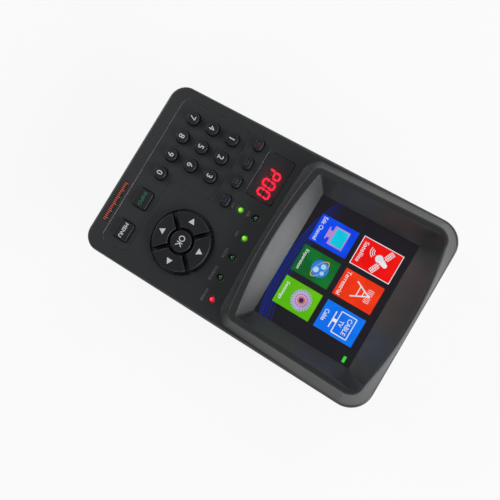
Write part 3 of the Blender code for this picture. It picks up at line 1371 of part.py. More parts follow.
def build_side_sockets(finishes):
    """Make the data port, the picture port, the power jack and the audio jack."""
    tongues = {"data_port": DATA_PORT_TONGUE, "picture_port": PICTURE_PORT_TONGUE}
    depths = {
        "data_port": (DATA_PORT_DEPTH, DATA_PORT_CAVITY),
        "picture_port": (PICTURE_PORT_DEPTH, PICTURE_PORT_CAVITY),
        "power_jack": (POWER_JACK_DEPTH, POWER_JACK_BORE_DEPTH),
        "audio_jack": (AUDIO_JACK_DEPTH, AUDIO_JACK_BORE_DEPTH),
    }
    for name, (side, y, width, height) in side_sockets().items():
        depth, cavity = depths[name]
        place = (side * (HALF_WIDTH - PORT_SETBACK), y, UNDER_MAIN_Z - height / 2)
        turn = RIGHTWARD if side == 1 else LEFTWARD
        half_x = width / 2
        half_y = height / 2
        if name in tongues:
            taper = PICTURE_PORT_TAPER if name == "picture_port" else PORT_SHELL
            rings = [
                at_height(port_outline(half_x, half_y, taper, 0), -depth),
                at_height(port_outline(half_x, half_y, taper, 0), 0),
                at_height(port_outline(half_x, half_y, taper, PORT_SHELL), 0),
                at_height(port_outline(half_x, half_y, taper, PORT_SHELL), -cavity),
            ]
            socket = make_object(name, [rings], finishes["nickel"], location=place, turn=turn)
            thick = tongues[name] / 2
            half = half_x - 2 * taper
            tongue = block(-half, half, -thick, thick, -cavity - PORT_SHELL, -PORT_SETBACK)
            tool = make_cutter(name + "_tongue", [tongue], turn=turn)
            tool.location = place
            combine(socket, tool, "UNION")
        else:
            body = block(-half_x, half_x, -half_y, half_y, -depth, 0)
            socket = make_object(name, [body], finishes["black"], location=place, turn=turn)
            bore = POWER_JACK_BORE if name == "power_jack" else AUDIO_JACK_BORE
            tool = make_cutter(name + "_bore", [turned([(bore, -cavity), (bore, OVERRUN)])], turn=turn)
            tool.location = place
            combine(socket, tool, "DIFFERENCE")
            if name == "power_jack":
                profile = [(POWER_JACK_PIN, -cavity - OVERRUN), (POWER_JACK_PIN, -PORT_SETBACK)]
                pin = make_cutter("power_jack_pin", [turned(profile, steps=SMALL_ROUND_STEPS)], turn=turn)
                pin.location = place
                combine(socket, pin, "UNION")


def port_outline(half_x, half_y, taper, inset):
    """Return a port's mouth, with its two lower corners cut off."""
    x = half_x - inset
    y = half_y - inset
    return [(taper - x, -y), (x - taper, -y), (x, taper - y), (x, y), (-x, y), (-x, taper - y)]


def make_finishes():
    """Return the materials by name."""
    return {
        "case": material("case_plastic", (0.032, 0.034, 0.034), 0.62),
        "keys": material("key_plastic", (0.013, 0.013, 0.015), 0.45),
        "silicone": material("grey_silicone", (0.30, 0.31, 0.32), 0.70),
        "rubber": material("foot_rubber", (0.010, 0.010, 0.010), 0.85),
        "board": material("board_green", (0.015, 0.12, 0.05), 0.40),
        "steel": material("zinc_steel", (0.55, 0.56, 0.57), 0.35, 1.0),
        "tin": material("tinned_steel", (0.62, 0.62, 0.60), 0.30, 1.0),
        "nickel": material("nickel_brass", (0.66, 0.64, 0.58), 0.25, 1.0),
        "glass": material("screen_glass", (0.02, 0.02, 0.025), 0.08),
        "smoked": material("smoked_window", (0.030, 0.018, 0.020), 0.15),
        "green_lens": material("green_lens", (0.20, 0.70, 0.05), 0.20),
        "red_lens": material("red_lens", (0.75, 0.02, 0.04), 0.20),
        "black": material("black_plastic", (0.015, 0.015, 0.015), 0.50),
        "white": material("white_nylon", (0.75, 0.74, 0.70), 0.45),
        "wrap": material("battery_wrap", (0.02, 0.09, 0.30), 0.40),
    }


def main():
    """Build the meter in an empty scene."""
    for old in list(bpy.data.objects):
        bpy.data.objects.remove(old, do_unlink=True)
    finishes = make_finishes()
    build_front_cover(finishes["case"])
    build_back_cover(finishes["case"])
    build_keys(finishes["keys"])
    build_key_mat(finishes["silicone"])
    build_key_board(finishes["board"])
    build_key_cable(finishes["white"])
    build_display(finishes)
    build_screen(finishes)
    build_battery(finishes)
    build_feet(finishes["rubber"])
    build_screws(finishes["steel"])
    build_main_board(finishes)
    build_aerial_sockets(finishes["nickel"])
    build_switch(finishes)
    build_side_sockets(finishes)


main()
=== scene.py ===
"""Looks of a handheld satellite signal meter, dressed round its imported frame.

Metres, +Z up, in the frame's own place: the meter lies on its feet, with its keypad
end towards -Y and its screen end towards +Y.
"""

import json
import logging
import math
from abc import ABC, abstractmethod
from collections.abc import Callable, Iterable, Sequence
from dataclasses import dataclass, field
from enum import Enum

import bmesh
import bpy
from mathutils import Matrix, Vector

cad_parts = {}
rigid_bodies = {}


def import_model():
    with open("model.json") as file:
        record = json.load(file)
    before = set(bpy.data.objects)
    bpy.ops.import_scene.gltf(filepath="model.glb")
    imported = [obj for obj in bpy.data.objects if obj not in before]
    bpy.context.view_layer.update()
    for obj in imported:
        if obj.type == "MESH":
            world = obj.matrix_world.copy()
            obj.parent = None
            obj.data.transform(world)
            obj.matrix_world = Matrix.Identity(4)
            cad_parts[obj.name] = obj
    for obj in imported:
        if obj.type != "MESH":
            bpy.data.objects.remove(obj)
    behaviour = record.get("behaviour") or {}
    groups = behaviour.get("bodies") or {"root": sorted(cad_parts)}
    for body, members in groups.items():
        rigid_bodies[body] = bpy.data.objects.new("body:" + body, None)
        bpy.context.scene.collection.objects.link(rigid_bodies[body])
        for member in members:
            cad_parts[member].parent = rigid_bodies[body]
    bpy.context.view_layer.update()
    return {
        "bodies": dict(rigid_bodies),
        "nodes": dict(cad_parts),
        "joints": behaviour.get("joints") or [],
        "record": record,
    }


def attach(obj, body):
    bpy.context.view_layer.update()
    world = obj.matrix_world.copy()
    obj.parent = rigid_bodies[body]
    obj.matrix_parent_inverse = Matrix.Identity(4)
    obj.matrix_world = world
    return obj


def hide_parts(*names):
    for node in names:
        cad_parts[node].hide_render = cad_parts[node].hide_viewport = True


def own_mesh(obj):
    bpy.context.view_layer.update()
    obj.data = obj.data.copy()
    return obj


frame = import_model()

log = logging.getLogger("meter")

Point = tuple[float, float, float]
Place = tuple[float, float]
Colour = tuple[float, float, float]

SHARP_ANGLE = math.radians(38)
FOLD_ANGLE = math.radians(50)
SKIN = 0.00002
OVERRUN = 0.0010
FIT = 0.0003


@dataclass(frozen=True)
class Value:
    """A number in a shader graph, on which Python operators add Math nodes."""

    graph: "Graph"
    socket: bpy.types.NodeSocket

    def __add__(self, other: "Number") -> "Value":
        """Return the sum."""
        return self.graph.math("ADD", self, other)

    __radd__ = __add__

    def __sub__(self, other: "Number") -> "Value":
        """Return the difference."""
        return self.graph.math("SUBTRACT", self, other)

    def __rsub__(self, other: "Number") -> "Value":
        """Return the reflected difference."""
        return self.graph.math("SUBTRACT", other, self)

    def __mul__(self, other: "Number") -> "Value":
        """Return the product."""
        return self.graph.math("MULTIPLY", self, other)

    __rmul__ = __mul__

    def step(self, low: float, high: float) -> "Value":
        """Return a smooth step from 0 to 1.

        Args:
            low: The value at which the step starts.
            high: The value at which the step has reached 1.

        Returns:
            The stepped number.
        """
        settings = {"interpolation_type": "SMOOTHSTEP"}
        inputs = {"Value": self, "From Min": low, "From Max": high}
        return Value(self.graph, self.graph.node("ShaderNodeMapRange", settings, inputs).outputs[0])


Number = Value | float


class Graph:
    """The node graph of one material."""

    def __init__(self, name: str) -> None:
        """Start a material with one Principled surface.

        Args:
            name: The material's name.
        """
        self.material = bpy.data.materials.new(name)
        self.material.use_nodes = True
        self.tree = self.material.node_tree
        self.shader = self.tree.nodes["Principled BSDF"]
        self.place = self.node("ShaderNodeTexCoord").outputs["Object"]

    def node(
        self,
        kind: str,
        settings: dict[str, object] | None = None,
        inputs: dict[str | int, object] | None = None,
    ) -> bpy.types.Node:
        """Add a node.

        Args:
            kind: The node's type.
            settings: The node's own options, such as a Math node's operation.
            inputs: A value, a Value or a socket for each input named or numbered.

        Returns:
            The new node.
        """
        made = self.tree.nodes.new(kind)
        for name, value in (settings or {}).items():
            setattr(made, name, value)
        for name, value in (inputs or {}).items():
            self._feed(made.inputs[name], value)
        return made

    def _feed(self, socket: bpy.types.NodeSocket, value: object) -> None:
        """Link a socket to a Value or another socket, or set its constant.

        Args:
            socket: The input socket.
            value: What feeds it.
        """
        if isinstance(value, Value):
            value = value.socket
        if isinstance(value, bpy.types.NodeSocket):
            self.tree.links.new(value, socket)
        elif socket.type == "RGBA" and len(value) == 3:
            socket.default_value = (*value, 1.0)
        else:
            socket.default_value = value

    def math(self, operation: str, first: Number, second: Number) -> Value:
        """Return the result of a Math node on two numbers."""
        made = self.node("ShaderNodeMath", {"operation": operation}, {0: first, 1: second})
        return Value(self, made.outputs[0])

    def moved(self, centre: Point = (0, 0, 0), stretch: Point = (1, 1, 1)) -> bpy.types.NodeSocket:
        """Return Object coordinates about a centre, stretched along each axis.

        Args:
            centre: The centre.
            stretch: The factor along each axis.

        Returns:
            The output socket.
        """
        inputs = {"Vector": self.place, "Location": [-c for c in centre]}
        centred = self.node("ShaderNodeMapping", None, inputs)
        made = self.node("ShaderNodeMapping", None, {"Vector": centred.outputs[0], "Scale": stretch})
        return made.outputs[0]

    def noise(self, size: float, detail: float = 2.0, stretch: Point = (1, 1, 1)) -> Value:
        """Return noise between 0 and 1.

        Args:
            size: The size of one blot, in metres.
            detail: The number of finer layers.
            stretch: How much faster the noise runs along each axis.

        Returns:
            The noise.
        """
        vector = self.place if stretch == (1, 1, 1) else self.moved(stretch=stretch)
        inputs = {"Vector": vector, "Scale": 1 / size, "Detail": detail}
        return Value(self, self.node("ShaderNodeTexNoise", None, inputs).outputs["Fac"])

    def cells(self, size: float, stretch: Point = (1, 1, 1)) -> Value:
        """Return the distance to the nearest of scattered points, in cells."""
        inputs = {"Vector": self.moved(stretch=stretch), "Scale": 1 / size}
        return Value(self, self.node("ShaderNodeTexVoronoi", None, inputs).outputs["Distance"])

    def axis(self, name: str) -> Value:
        """Return one of the Object coordinates."""
        return Value(self, self.node("ShaderNodeSeparateXYZ", None, {0: self.place}).outputs[name])

    def radius(self, centre: Point, stretch: Point = (1, 1, 1)) -> Value:
        """Return the distance from a centre, in metres."""
        made = self.node("ShaderNodeVectorMath", {"operation": "LENGTH"}, {0: self.moved(centre, stretch)})
        return Value(self, made.outputs["Value"])

    def scaled(self, colour: object, by: Number) -> bpy.types.NodeSocket:
        """Return a colour times a number."""
        made = self.node("ShaderNodeVectorMath", {"operation": "SCALE"}, {0: colour, "Scale": by})
        return made.outputs[0]

    def mix(self, share: Number, first: object, second: object) -> bpy.types.NodeSocket:
        """Return a mix of two colours.

        Args:
            share: How much of the second colour there is.
            first: The first colour or its socket.
            second: The second colour or its socket.

        Returns:
            The mixed colour's socket.
        """
        made = self.node("ShaderNodeMix", {"data_type": "RGBA"}, {0: share, 6: first, 7: second})
        return made.outputs[2]

    def bump(self, height: Value, depth: float) -> bpy.types.NodeSocket:
        """Return a normal that a height between 0 and 1 disturbs.

        Args:
            height: The height.
            depth: The depth of the relief, in metres.

        Returns:
            The normal's socket.
        """
        inputs = {"Height": height, "Distance": depth, "Strength": 1.0}
        return self.node("ShaderNodeBump", None, inputs).outputs[0]

    def blend(self, share: Value, other: bpy.types.Node) -> None:
        """Mix another shader over the Principled surface.

        Args:
            share: How much of the other shader there is.
            other: The other shader's node.
        """
        inputs = {0: share, 1: self.shader.outputs[0], 2: other.outputs[0]}
        mixed = self.node("ShaderNodeMixShader", None, inputs)
        self.tree.links.new(mixed.outputs[0], self.tree.nodes["Material Output"].inputs["Surface"])

    def surface(self, **inputs: object) -> None:
        """Feed the Principled surface, whose sockets are named with underscores for spaces."""
        for name, value in inputs.items():
            self._feed(self.shader.inputs[name.replace("_", " ")], value)


@dataclass(frozen=True)
class Finish(ABC):
    """A procedural finish, which becomes a new material each time that it is made."""

    name: str

    @abstractmethod
    def paint(self, graph: Graph) -> None:
        """Feed the graph's surface."""

    def make(self) -> bpy.types.Material:
        """Return the material."""
        self.paint(graph := Graph(self.name))
        return graph.material


@dataclass(frozen=True)
class MouldedPlastic(Finish):
    """Spark-eroded plastic, with a fine grain, a faint mottle and rubbed high spots."""

    colour: Colour
    roughness: float = 0.50
    grain: float = 0.00042
    depth: float = 0.00006
    mottle: float = 0.10
    speckle: float = 0.35
    sheen: float = 0.08

    def paint(self, graph: Graph) -> None:
        """Feed the graph's surface.

        Args:
            graph: The finish's graph.
        """
        grain = graph.noise(self.grain, 3.0)
        cloud = graph.noise(0.030)
        shade = (cloud - 0.5) * self.mottle + (grain - 0.5) * self.speckle + 1.0
        rubbed = grain.step(0.35, 0.75) * 0.10 + (cloud - 0.5) * 0.08
        graph.surface(
            Base_Color=graph.scaled(self.colour, shade),
            Roughness=self.roughness - rubbed,
            Normal=graph.bump(grain, self.depth),
            Coat_Weight=self.sheen,
            Coat_Roughness=0.28,
        )


@dataclass(frozen=True)
class KeyPlastic(Finish):
    """Satin key plastic with a very fine texture and a little shine from use."""

    colour: Colour
    roughness: float = 0.42

    def paint(self, graph: Graph) -> None:
        """Feed the graph's surface.

        Args:
            graph: The finish's graph.
        """
        fine = graph.noise(0.00025, 2.0)
        worn = graph.noise(0.0040)
        graph.surface(
            Base_Color=graph.scaled(self.colour, (fine - 0.5) * 0.25 + (worn - 0.5) * 0.15 + 1.0),
            Roughness=self.roughness - (worn - 0.5) * 0.12,
            Normal=graph.bump(fine, 0.00002),
        )


@dataclass(frozen=True)
class Rubber(Finish):
    """Moulded rubber or silicone with a powdery, uneven surface."""

    colour: Colour
    roughness: float = 0.80

    def paint(self, graph: Graph) -> None:
        """Feed the graph's surface.

        Args:
            graph: The finish's graph.
        """
        dust = graph.noise(0.0008, 4.0)
        powder = [0.1 + c / 2 for c in self.colour]
        graph.surface(
            Base_Color=graph.mix(dust.step(0.45, 0.80) * 0.12, self.colour, powder),
            Roughness=self.roughness - (dust - 0.5) * 0.15,
            Normal=graph.bump(dust, 0.00003),
        )


@dataclass(frozen=True)
class Metal(Finish):
    """Drawn or turned metal, with fine marks along one direction and light tarnish."""

    colour: Colour
    roughness: float = 0.28
    marks: Point = (1, 1, 12)
    tarnish: float = 0.25

    def paint(self, graph: Graph) -> None:
        """Feed the graph's surface.

        Args:
            graph: The finish's graph.
        """
        marks = graph.noise(0.0012, 3.0, self.marks)
        stain = graph.noise(0.0060, 3.0).step(0.45, 0.75)
        dull = [c * 0.55 for c in self.colour]
        graph.surface(
            Base_Color=graph.mix(stain * self.tarnish, self.colour, dull),
            Metallic=1.0,
            Roughness=marks * 0.16 + stain * 0.15 + (self.roughness - 0.08),
            Normal=graph.bump(marks, 0.00001),
        )


@dataclass(frozen=True)
class CircuitBoard(Finish):
    """Green solder resist over copper tracks, with bare pads."""

    colour: Colour

    def paint(self, graph: Graph) -> None:
        """Feed the graph's surface.

        Args:
            graph: The finish's graph.
        """
        settings = {"offset": 0.5, "squash": 1.0}
        inputs = {"Vector": graph.place, "Scale": 260.0, "Mortar Size": 0.03, "Mortar Smooth": 0.2}
        tracks = Value(graph, graph.node("ShaderNodeTexBrick", settings, inputs).outputs["Fac"])
        pads = 1 - graph.cells(0.0045).step(0.10, 0.14)
        copper = [c * 1.9 for c in self.colour]
        covered = graph.mix(tracks, self.colour, copper)
        graph.surface(
            Base_Color=graph.mix(pads, covered, (0.62, 0.58, 0.45)),
            Metallic=pads * 0.9,
            Roughness=0.38 - pads * 0.12,
            Normal=graph.bump(tracks + pads, 0.00003),
        )


@dataclass(frozen=True)
class Wrap(Finish):
    """Shrunk plastic film, with ripples and small creases."""

    colour: Colour

    def paint(self, graph: Graph) -> None:
        """Feed the graph's surface.

        Args:
            graph: The finish's graph.
        """
        ripple = graph.noise(0.0070, 3.0, (1, 4, 1))
        graph.surface(
            Base_Color=graph.scaled(self.colour, (ripple - 0.5) * 0.5 + 1.0),
            Roughness=0.22 + ripple * 0.12,
            Normal=graph.bump(ripple, 0.00030),
        )


@dataclass(frozen=True)
class Ink(Finish):
    """Printed or moulded-in lettering, slightly uneven."""

    colour: Colour
    glow: float = 0.0

    def paint(self, graph: Graph) -> None:
        """Feed the graph's surface.

        Args:
            graph: The finish's graph.
        """
        patchy = graph.noise(0.0006, 3.0)
        paint = graph.scaled(self.colour, (patchy - 0.5) * 0.22 + 1.0)
        rough = 0.50 - (patchy - 0.5) * 0.2
        graph.surface(Base_Color=paint, Roughness=rough, Normal=graph.bump(patchy, 0.00001))
        if self.glow:
            graph.surface(Emission_Color=paint, Emission_Strength=self.glow)


@dataclass(frozen=True)
class ClearGlass(Finish):
    """Clear or smoked window, with a faint haze where fingers have touched it."""

    colour: Colour
    ior: float = 1.25

    def paint(self, graph: Graph) -> None:
        """Feed the graph's surface.

        Args:
            graph: The finish's graph.
        """
        smear = graph.noise(0.0120, 4.0).step(0.50, 0.80)
        graph.surface(
            Base_Color=graph.scaled(self.colour, 1.0 - smear * 0.06),
            Transmission_Weight=1.0,
            IOR=self.ior,
            Roughness=smear * 0.004,
        )


@dataclass(frozen=True)
class SatinWindow(Finish):
    """Smoked window with a satin face, through which lit segments look blurred."""

    tint: Colour
    face: Colour
    share: float = 0.52
    blur: float = 0.34

    def paint(self, graph: Graph) -> None:
        """Feed the graph's surface.

        Args:
            graph: The finish's graph.
        """
        grain = graph.noise(0.00035, 3.0)
        rough = grain * 0.03 + self.blur
        graph.surface(Base_Color=self.tint, Transmission_Weight=1.0, IOR=1.2, Roughness=rough)
        inputs = {"Base Color": graph.scaled(self.face, (grain - 0.5) * 0.1 + 1.0), "Roughness": 0.46}
        skin = graph.node("ShaderNodeBsdfPrincipled", None, inputs)
        graph.blend((grain - 0.5) * 0.02 + self.share, skin)


@dataclass(frozen=True)
class Lamp(Finish):
    """Tinted lens of a lamp, brightest over its chip; an unlit lamp keeps a faint painted glow there."""

    colour: Colour
    core: Colour
    centre: Point
    glow: float

    def paint(self, graph: Graph) -> None:
        """Feed the graph's surface.

        Args:
            graph: The finish's graph.
        """
        far = graph.radius(self.centre)
        heart = 1 - far.step(0.0002, 0.0014)
        swirl = graph.noise(0.0007, 2.0, (1, 1, 0.3))
        tint = graph.mix(heart, self.colour, self.core)
        graph.surface(
            Base_Color=graph.scaled(tint, swirl * 0.5 + 0.7),
            Roughness=0.12 + swirl * 0.06,
            Coat_Weight=0.5,
            # Emission: real light for a lit lamp, a faint painted glow for an unlit one.
            Emission_Color=graph.scaled(tint, swirl * 0.3 + 0.85),
            Emission_Strength=self.glow,
        )


@dataclass(frozen=True)
class Picture(Finish):
    """A patch of the lit screen, with the fine raster of its dots."""

    colour: Colour
    shade: Colour
    glow: float = 0.9
    dot: float = 0.00022

    def paint(self, graph: Graph) -> None:
        """Feed the graph's surface.

        Args:
            graph: The finish's graph.
        """
        row = graph.math("SINE", graph.axis("X") * (2 * math.pi / self.dot), 0.0) * 0.04 + 0.98
        wash = graph.noise(0.0090, 1.0)
        paint = graph.scaled(graph.mix(wash.step(0.35, 0.70), self.colour, self.shade), row)
        graph.surface(
            Base_Color=graph.scaled(paint, 0.15),
            Roughness=0.35,
            Emission_Color=paint,
            Emission_Strength=self.glow,
        )


@dataclass(frozen=True)
class Wallpaper(Finish):
    """Dark background of the screen's menu, with soft blue bands round one corner."""

    centre: Point
    bands: tuple[float, ...]
    base: Colour = (0.0105, 0.0090, 0.0135)
    band: Colour = (0.003, 0.016, 0.20)
    half_band: float = 0.0008

    def paint(self, graph: Graph) -> None:
        """Feed the graph's surface.

        Args:
            graph: The finish's graph.
        """
        far = graph.radius(self.centre, (1, 1, 0))
        sway = (graph.noise(0.0300, 1.0) - 0.5) * 0.0016
        light = 0.0
        for radius in self.bands:
            off = graph.math("ABSOLUTE", far + sway - radius, 0.0)
            light = (1 - off.step(0.0, self.half_band)) + light
        fade = 1 - graph.axis("Y").step(0.018, 0.031)
        paint = graph.mix(light * fade, self.base, self.band)
        graph.surface(
            Base_Color=graph.scaled(paint, 0.3),
            Roughness=0.30,
            Emission_Color=paint,
            Emission_Strength=1.0,
        )


@dataclass(frozen=True)
class DigitGlow(Finish):
    """Black face of the digit module, with a painted red glow near the lit segments that stands in for their
    light on it.
    """

    centre: Point
    reach: float
    base: Colour = (0.010, 0.004, 0.005)
    # Colour of the painted glow that stands in for the lit segments' light on the face.
    light: Colour = (1.10, 0.010, 0.060)

    def paint(self, graph: Graph) -> None:
        """Feed the graph's surface.

        Args:
            graph: The finish's graph.
        """
        # Painted glow: emission on the face, strongest next to the lit digits and fading out over the reach.
        near = 1 - graph.radius(self.centre, (0.75, 1.3, 0.0)).step(0.0, self.reach)
        cloud = graph.noise(0.0040, 2.0)
        graph.surface(
            Base_Color=graph.scaled(self.base, cloud * 0.4 + 0.8),
            Roughness=0.55 - cloud * 0.1,
            Emission_Color=graph.scaled(self.light, near * near * (cloud * 0.4 + 0.8)),
            Emission_Strength=1.0,
        )


Growing = Callable[[float], "Outline"]


def bevel(bm: bmesh.types.BMesh, parts: Sequence[object], size: float, steps: int, affect: str) -> None:
    """Bevel corners or edges of a mesh.

    Args:
        bm: The mesh.
        parts: Its vertices or edges.
        size: How far from each of them the bevel starts.
        steps: The number of faces or edges across the bevel.
        affect: Which kind the parts are, VERTICES or EDGES.
    """
    bmesh.ops.bevel(
        bm,
        geom=parts,
        offset=size,
        offset_type="OFFSET",
        segments=steps,
        profile=0.5,
        affect=affect,
        material=-1,
    )


@dataclass(frozen=True)
class Outline:
    """A closed flat ring of points, seen from above."""

    points: list[Place]

    @classmethod
    def drawn(cls, bm: bmesh.types.BMesh, centre: Place = (0, 0)) -> "Outline":
        """Return the outline of a mesh that is one flat face, and free the mesh.

        Args:
            bm: The mesh.
            centre: Where its origin goes.

        Returns:
            The outline.
        """
        bm.faces.ensure_lookup_table()
        points = [(v.co.x + centre[0], v.co.y + centre[1]) for v in bm.faces[0].verts]
        bm.free()
        return cls(points)

    @classmethod
    def circle(cls, radius: float, centre: Place = (0, 0), steps: int = 64) -> "Outline":
        """Return a circle.

        Args:
            radius: Its radius.
            centre: Its centre.
            steps: The number of sides.

        Returns:
            The outline.
        """
        bm = bmesh.new()
        bmesh.ops.create_circle(bm, cap_ends=True, radius=radius, segments=steps)
        return cls.drawn(bm, centre)

    @classmethod
    def polygon(
        cls, corners: Sequence[Place], radii: Sequence[float], centre: Place = (0, 0), steps: int = 8
    ) -> "Outline":
        """Return a polygon with rounded corners.

        Args:
            corners: The sharp corners, counter-clockwise.
            radii: The rounding of each corner.
            centre: Where the polygon's origin goes.
            steps: The number of edges in each rounding.

        Returns:
            The outline.
        """
        bm = bmesh.new()
        verts = [bm.verts.new((x, y, 0)) for x, y in corners]
        bm.faces.new(verts)
        for vert, radius in zip(verts, radii):
            bevel(bm, [vert], radius, steps, "VERTICES")
        return cls.drawn(bm, centre)

    @classmethod
    def rectangle(
        cls, half_x: float, half_y: float, radius: float, centre: Place = (0, 0), steps: int = 8
    ) -> "Outline":
        """Return a rectangle with rounded corners."""
        corners = [(-half_x, -half_y), (half_x, -half_y), (half_x, half_y), (-half_x, half_y)]
        return cls.polygon(corners, [radius] * 4, centre, steps)

    @classmethod
    def sector(
        cls, inner: float, outer: float, half_spoke: float, turn: float, centre: Place, corner: float
    ) -> "Outline":
        """Return a quarter of a ring with parallel gaps between it and its neighbours.

        Args:
            inner: The inner radius.
            outer: The outer radius.
            half_spoke: Half of the gap between two sectors.
            turn: The direction of the sector's middle.
            centre: The ring's centre.
            corner: The rounding of the outer corners.

        Returns:
            The outline.
        """
        bm = bmesh.new()
        ends = [bm.verts.new((radius, 0, 0)) for radius in (inner, outer)]
        edge = bm.edges.new(ends)
        bmesh.ops.rotate(bm, verts=ends, matrix=Matrix.Rotation(-math.pi / 4, 3, "Z"))
        bmesh.ops.spin(bm, geom=[*ends, edge], angle=math.pi / 2, steps=24, axis=(0, 0, 1))
        for side in (-1, 1):
            normal = Vector((-math.sqrt(0.5), side * math.sqrt(0.5), 0))
            geom = [*bm.verts, *bm.edges, *bm.faces]
            bmesh.ops.bisect_plane(
                bm, geom=geom, plane_co=-normal * half_spoke, plane_no=normal, clear_outer=True
            )
        bmesh.ops.remove_doubles(bm, verts=bm.verts, dist=0.000001)
        bmesh.ops.dissolve_faces(bm, faces=bm.faces)
        far = sorted(bm.verts, key=lambda v: abs(v.co.y))[-2:]
        for vert in far:
            bevel(bm, [vert], corner, 5, "VERTICES")
        bmesh.ops.rotate(bm, verts=bm.verts, matrix=Matrix.Rotation(turn, 3, "Z"))
        return cls.drawn(bm, centre)

    @classmethod
    def triangle(cls, radius: float, turn: float, centre: Place) -> "Outline":
        """Return an equilateral triangle.

        Args:
            radius: How far its corners are from its middle.
            turn: The direction in which it points.
            centre: Its middle.

        Returns:
            The outline.
        """
        bm = bmesh.new()
        bmesh.ops.create_circle(bm, cap_ends=True, radius=radius, segments=3)
        tip = max(bm.verts, key=lambda vert: vert.co.length)
        lean = turn - math.atan2(tip.co.y, tip.co.x)
        bmesh.ops.rotate(bm, verts=bm.verts, matrix=Matrix.Rotation(lean, 3, "Z"))
        return cls.drawn(bm, centre)

    def at(self, z: float) -> list[Point]:
        """Return the outline's points at one height."""
        return [(x, y, z) for x, y in self.points]


class Solid:
    """A closed mesh that operators shape, in metres."""

    def __init__(self) -> None:
        """Start with nothing."""
        self.bm = bmesh.new()

    def loft(self, rings: Sequence[Sequence[Point]]) -> "Solid":
        """Add a body through rings of as many points each, capped at both ends.

        Args:
            rings: The rings, from one end to the other.

        Returns:
            This solid.
        """
        face = self.bm.faces.new([self.bm.verts.new(point) for point in rings[0]])
        base = face
        for ring in rings[1:]:
            grown = bmesh.ops.extrude_face_region(self.bm, geom=[face])["geom"]
            if face is not base and face.is_valid:
                bmesh.ops.delete(self.bm, geom=[face], context="FACES_ONLY")
            face = next(part for part in grown if isinstance(part, bmesh.types.BMFace))
            for vert, point in zip(face.verts, ring):
                vert.co = point
        return self

    def slab(self, outline: Outline, low: float, high: float) -> "Solid":
        """Add a straight body over an outline."""
        return self.loft([outline.at(low), outline.at(high)])

    def box(self, low: Point, high: Point) -> "Solid":
        """Add a block between two corners.

        Args:
            low: The lowest corner.
            high: The highest corner.

        Returns:
            This solid.
        """
        made = bmesh.ops.create_cube(self.bm, size=1.0)["verts"]
        size = Vector(high) - Vector(low)
        bmesh.ops.scale(self.bm, vec=size, verts=made)
        bmesh.ops.translate(self.bm, vec=(Vector(low) + Vector(high)) / 2, verts=made)
        return self

    def lathe(self, profile: Sequence[Place], centre: Place = (0, 0), steps: int = 64) -> "Solid":
        """Add a turned body.

        Args:
            profile: The radius and height of each point, from the axis round to the axis.
            centre: Where the axis stands.
            steps: The number of faces round the axis.

        Returns:
            This solid.
        """
        turned = Solid()
        bm = turned.bm
        verts = [bm.verts.new((radius, 0, z)) for radius, z in profile]
        edges = [bm.edges.new(pair) for pair in zip(verts, verts[1:])]
        bmesh.ops.spin(
            bm, geom=[*verts, *edges], angle=2 * math.pi, steps=steps, axis=(0, 0, 1), use_merge=True
        )
        bmesh.ops.remove_doubles(bm, verts=bm.verts, dist=0.0000005)
        bmesh.ops.recalc_face_normals(bm, faces=bm.faces)
        return self.take(turned.moved(Matrix.Translation((*centre, 0))))

    def take(self, other: "Solid") -> "Solid":
        """Add another solid as it is, which is used up.

        Args:
            other: The other solid.

        Returns:
            This solid.
        """
        mesh = bpy.data.meshes.new("taken")
        other.bm.to_mesh(mesh)
        other.bm.free()
        self.bm.from_mesh(mesh)
        bpy.data.meshes.remove(mesh)
        return self

    def folds(self) -> list[bmesh.types.BMEdge]:
        """Return every edge at which the surface folds."""
        return [e for e in self.bm.edges if len(e.link_faces) == 2 and e.calc_face_angle() > FOLD_ANGLE]

    def ease(self, z: float, size: float, steps: int) -> "Solid":
        """Round the outer edges at one height, or chamfer them with one step.

        Args:
            z: The height.
            size: How far the rounding reaches.
            steps: The number of faces across it.

        Returns:
            This solid.
        """
        rim = [e for e in self.folds() if all(abs(vert.co.z - z) < SKIN / 10 for vert in e.verts)]
        bevel(self.bm, rim, size, steps, "EDGES")
        return self

    def ease_all(self, size: float) -> "Solid":
        """Round every folded edge."""
        bevel(self.bm, self.folds(), size, 2, "EDGES")
        return self

    def moved(self, matrix: Matrix) -> "Solid":
        """Turn and place this solid."""
        bmesh.ops.transform(self.bm, matrix=matrix, verts=self.bm.verts)
        return self

    def cut(self, tool: "Solid") -> "Solid":
        """Take another solid away from this one."""
        return self.combine(tool, "DIFFERENCE")

    def join(self, tool: "Solid") -> "Solid":
        """Unite this solid with another."""
        return self.combine(tool, "UNION")

    def keep(self, tool: "Solid") -> "Solid":
        """Keep what this solid shares with another."""
        return self.combine(tool, "INTERSECT")

    def combine(self, tool: "Solid", operation: str) -> "Solid":
        """Change this solid by another, which is used up.

        Args:
            tool: The other solid.
            operation: The Boolean operation.

        Returns:
            This solid.
        """
        pair = [part.draft() for part in (self, tool)]
        step = pair[0].modifiers.new("step", "BOOLEAN")
        step.operation = operation
        step.solver = "EXACT"
        step.object = pair[1]
        bpy.context.view_layer.update()
        found = pair[0].evaluated_get(bpy.context.evaluated_depsgraph_get())
        mesh = bpy.data.meshes.new_from_object(found)
        self.bm.clear()
        self.bm.from_mesh(mesh)
        tool.bm.free()
        bpy.data.meshes.remove(mesh)
        for used in pair:
            drawn = used.data
            bpy.data.objects.remove(used)
            bpy.data.meshes.remove(drawn)
        return self

    def draft(self) -> bpy.types.Object:
        """Return this solid as an object for a Boolean.

        Returns:
            The object.
        """
        bmesh.ops.recalc_face_normals(self.bm, faces=self.bm.faces)
        mesh = bpy.data.meshes.new("draft")
        self.bm.to_mesh(mesh)
        made = bpy.data.objects.new("draft", mesh)
        bpy.context.scene.collection.objects.link(made)
        return made

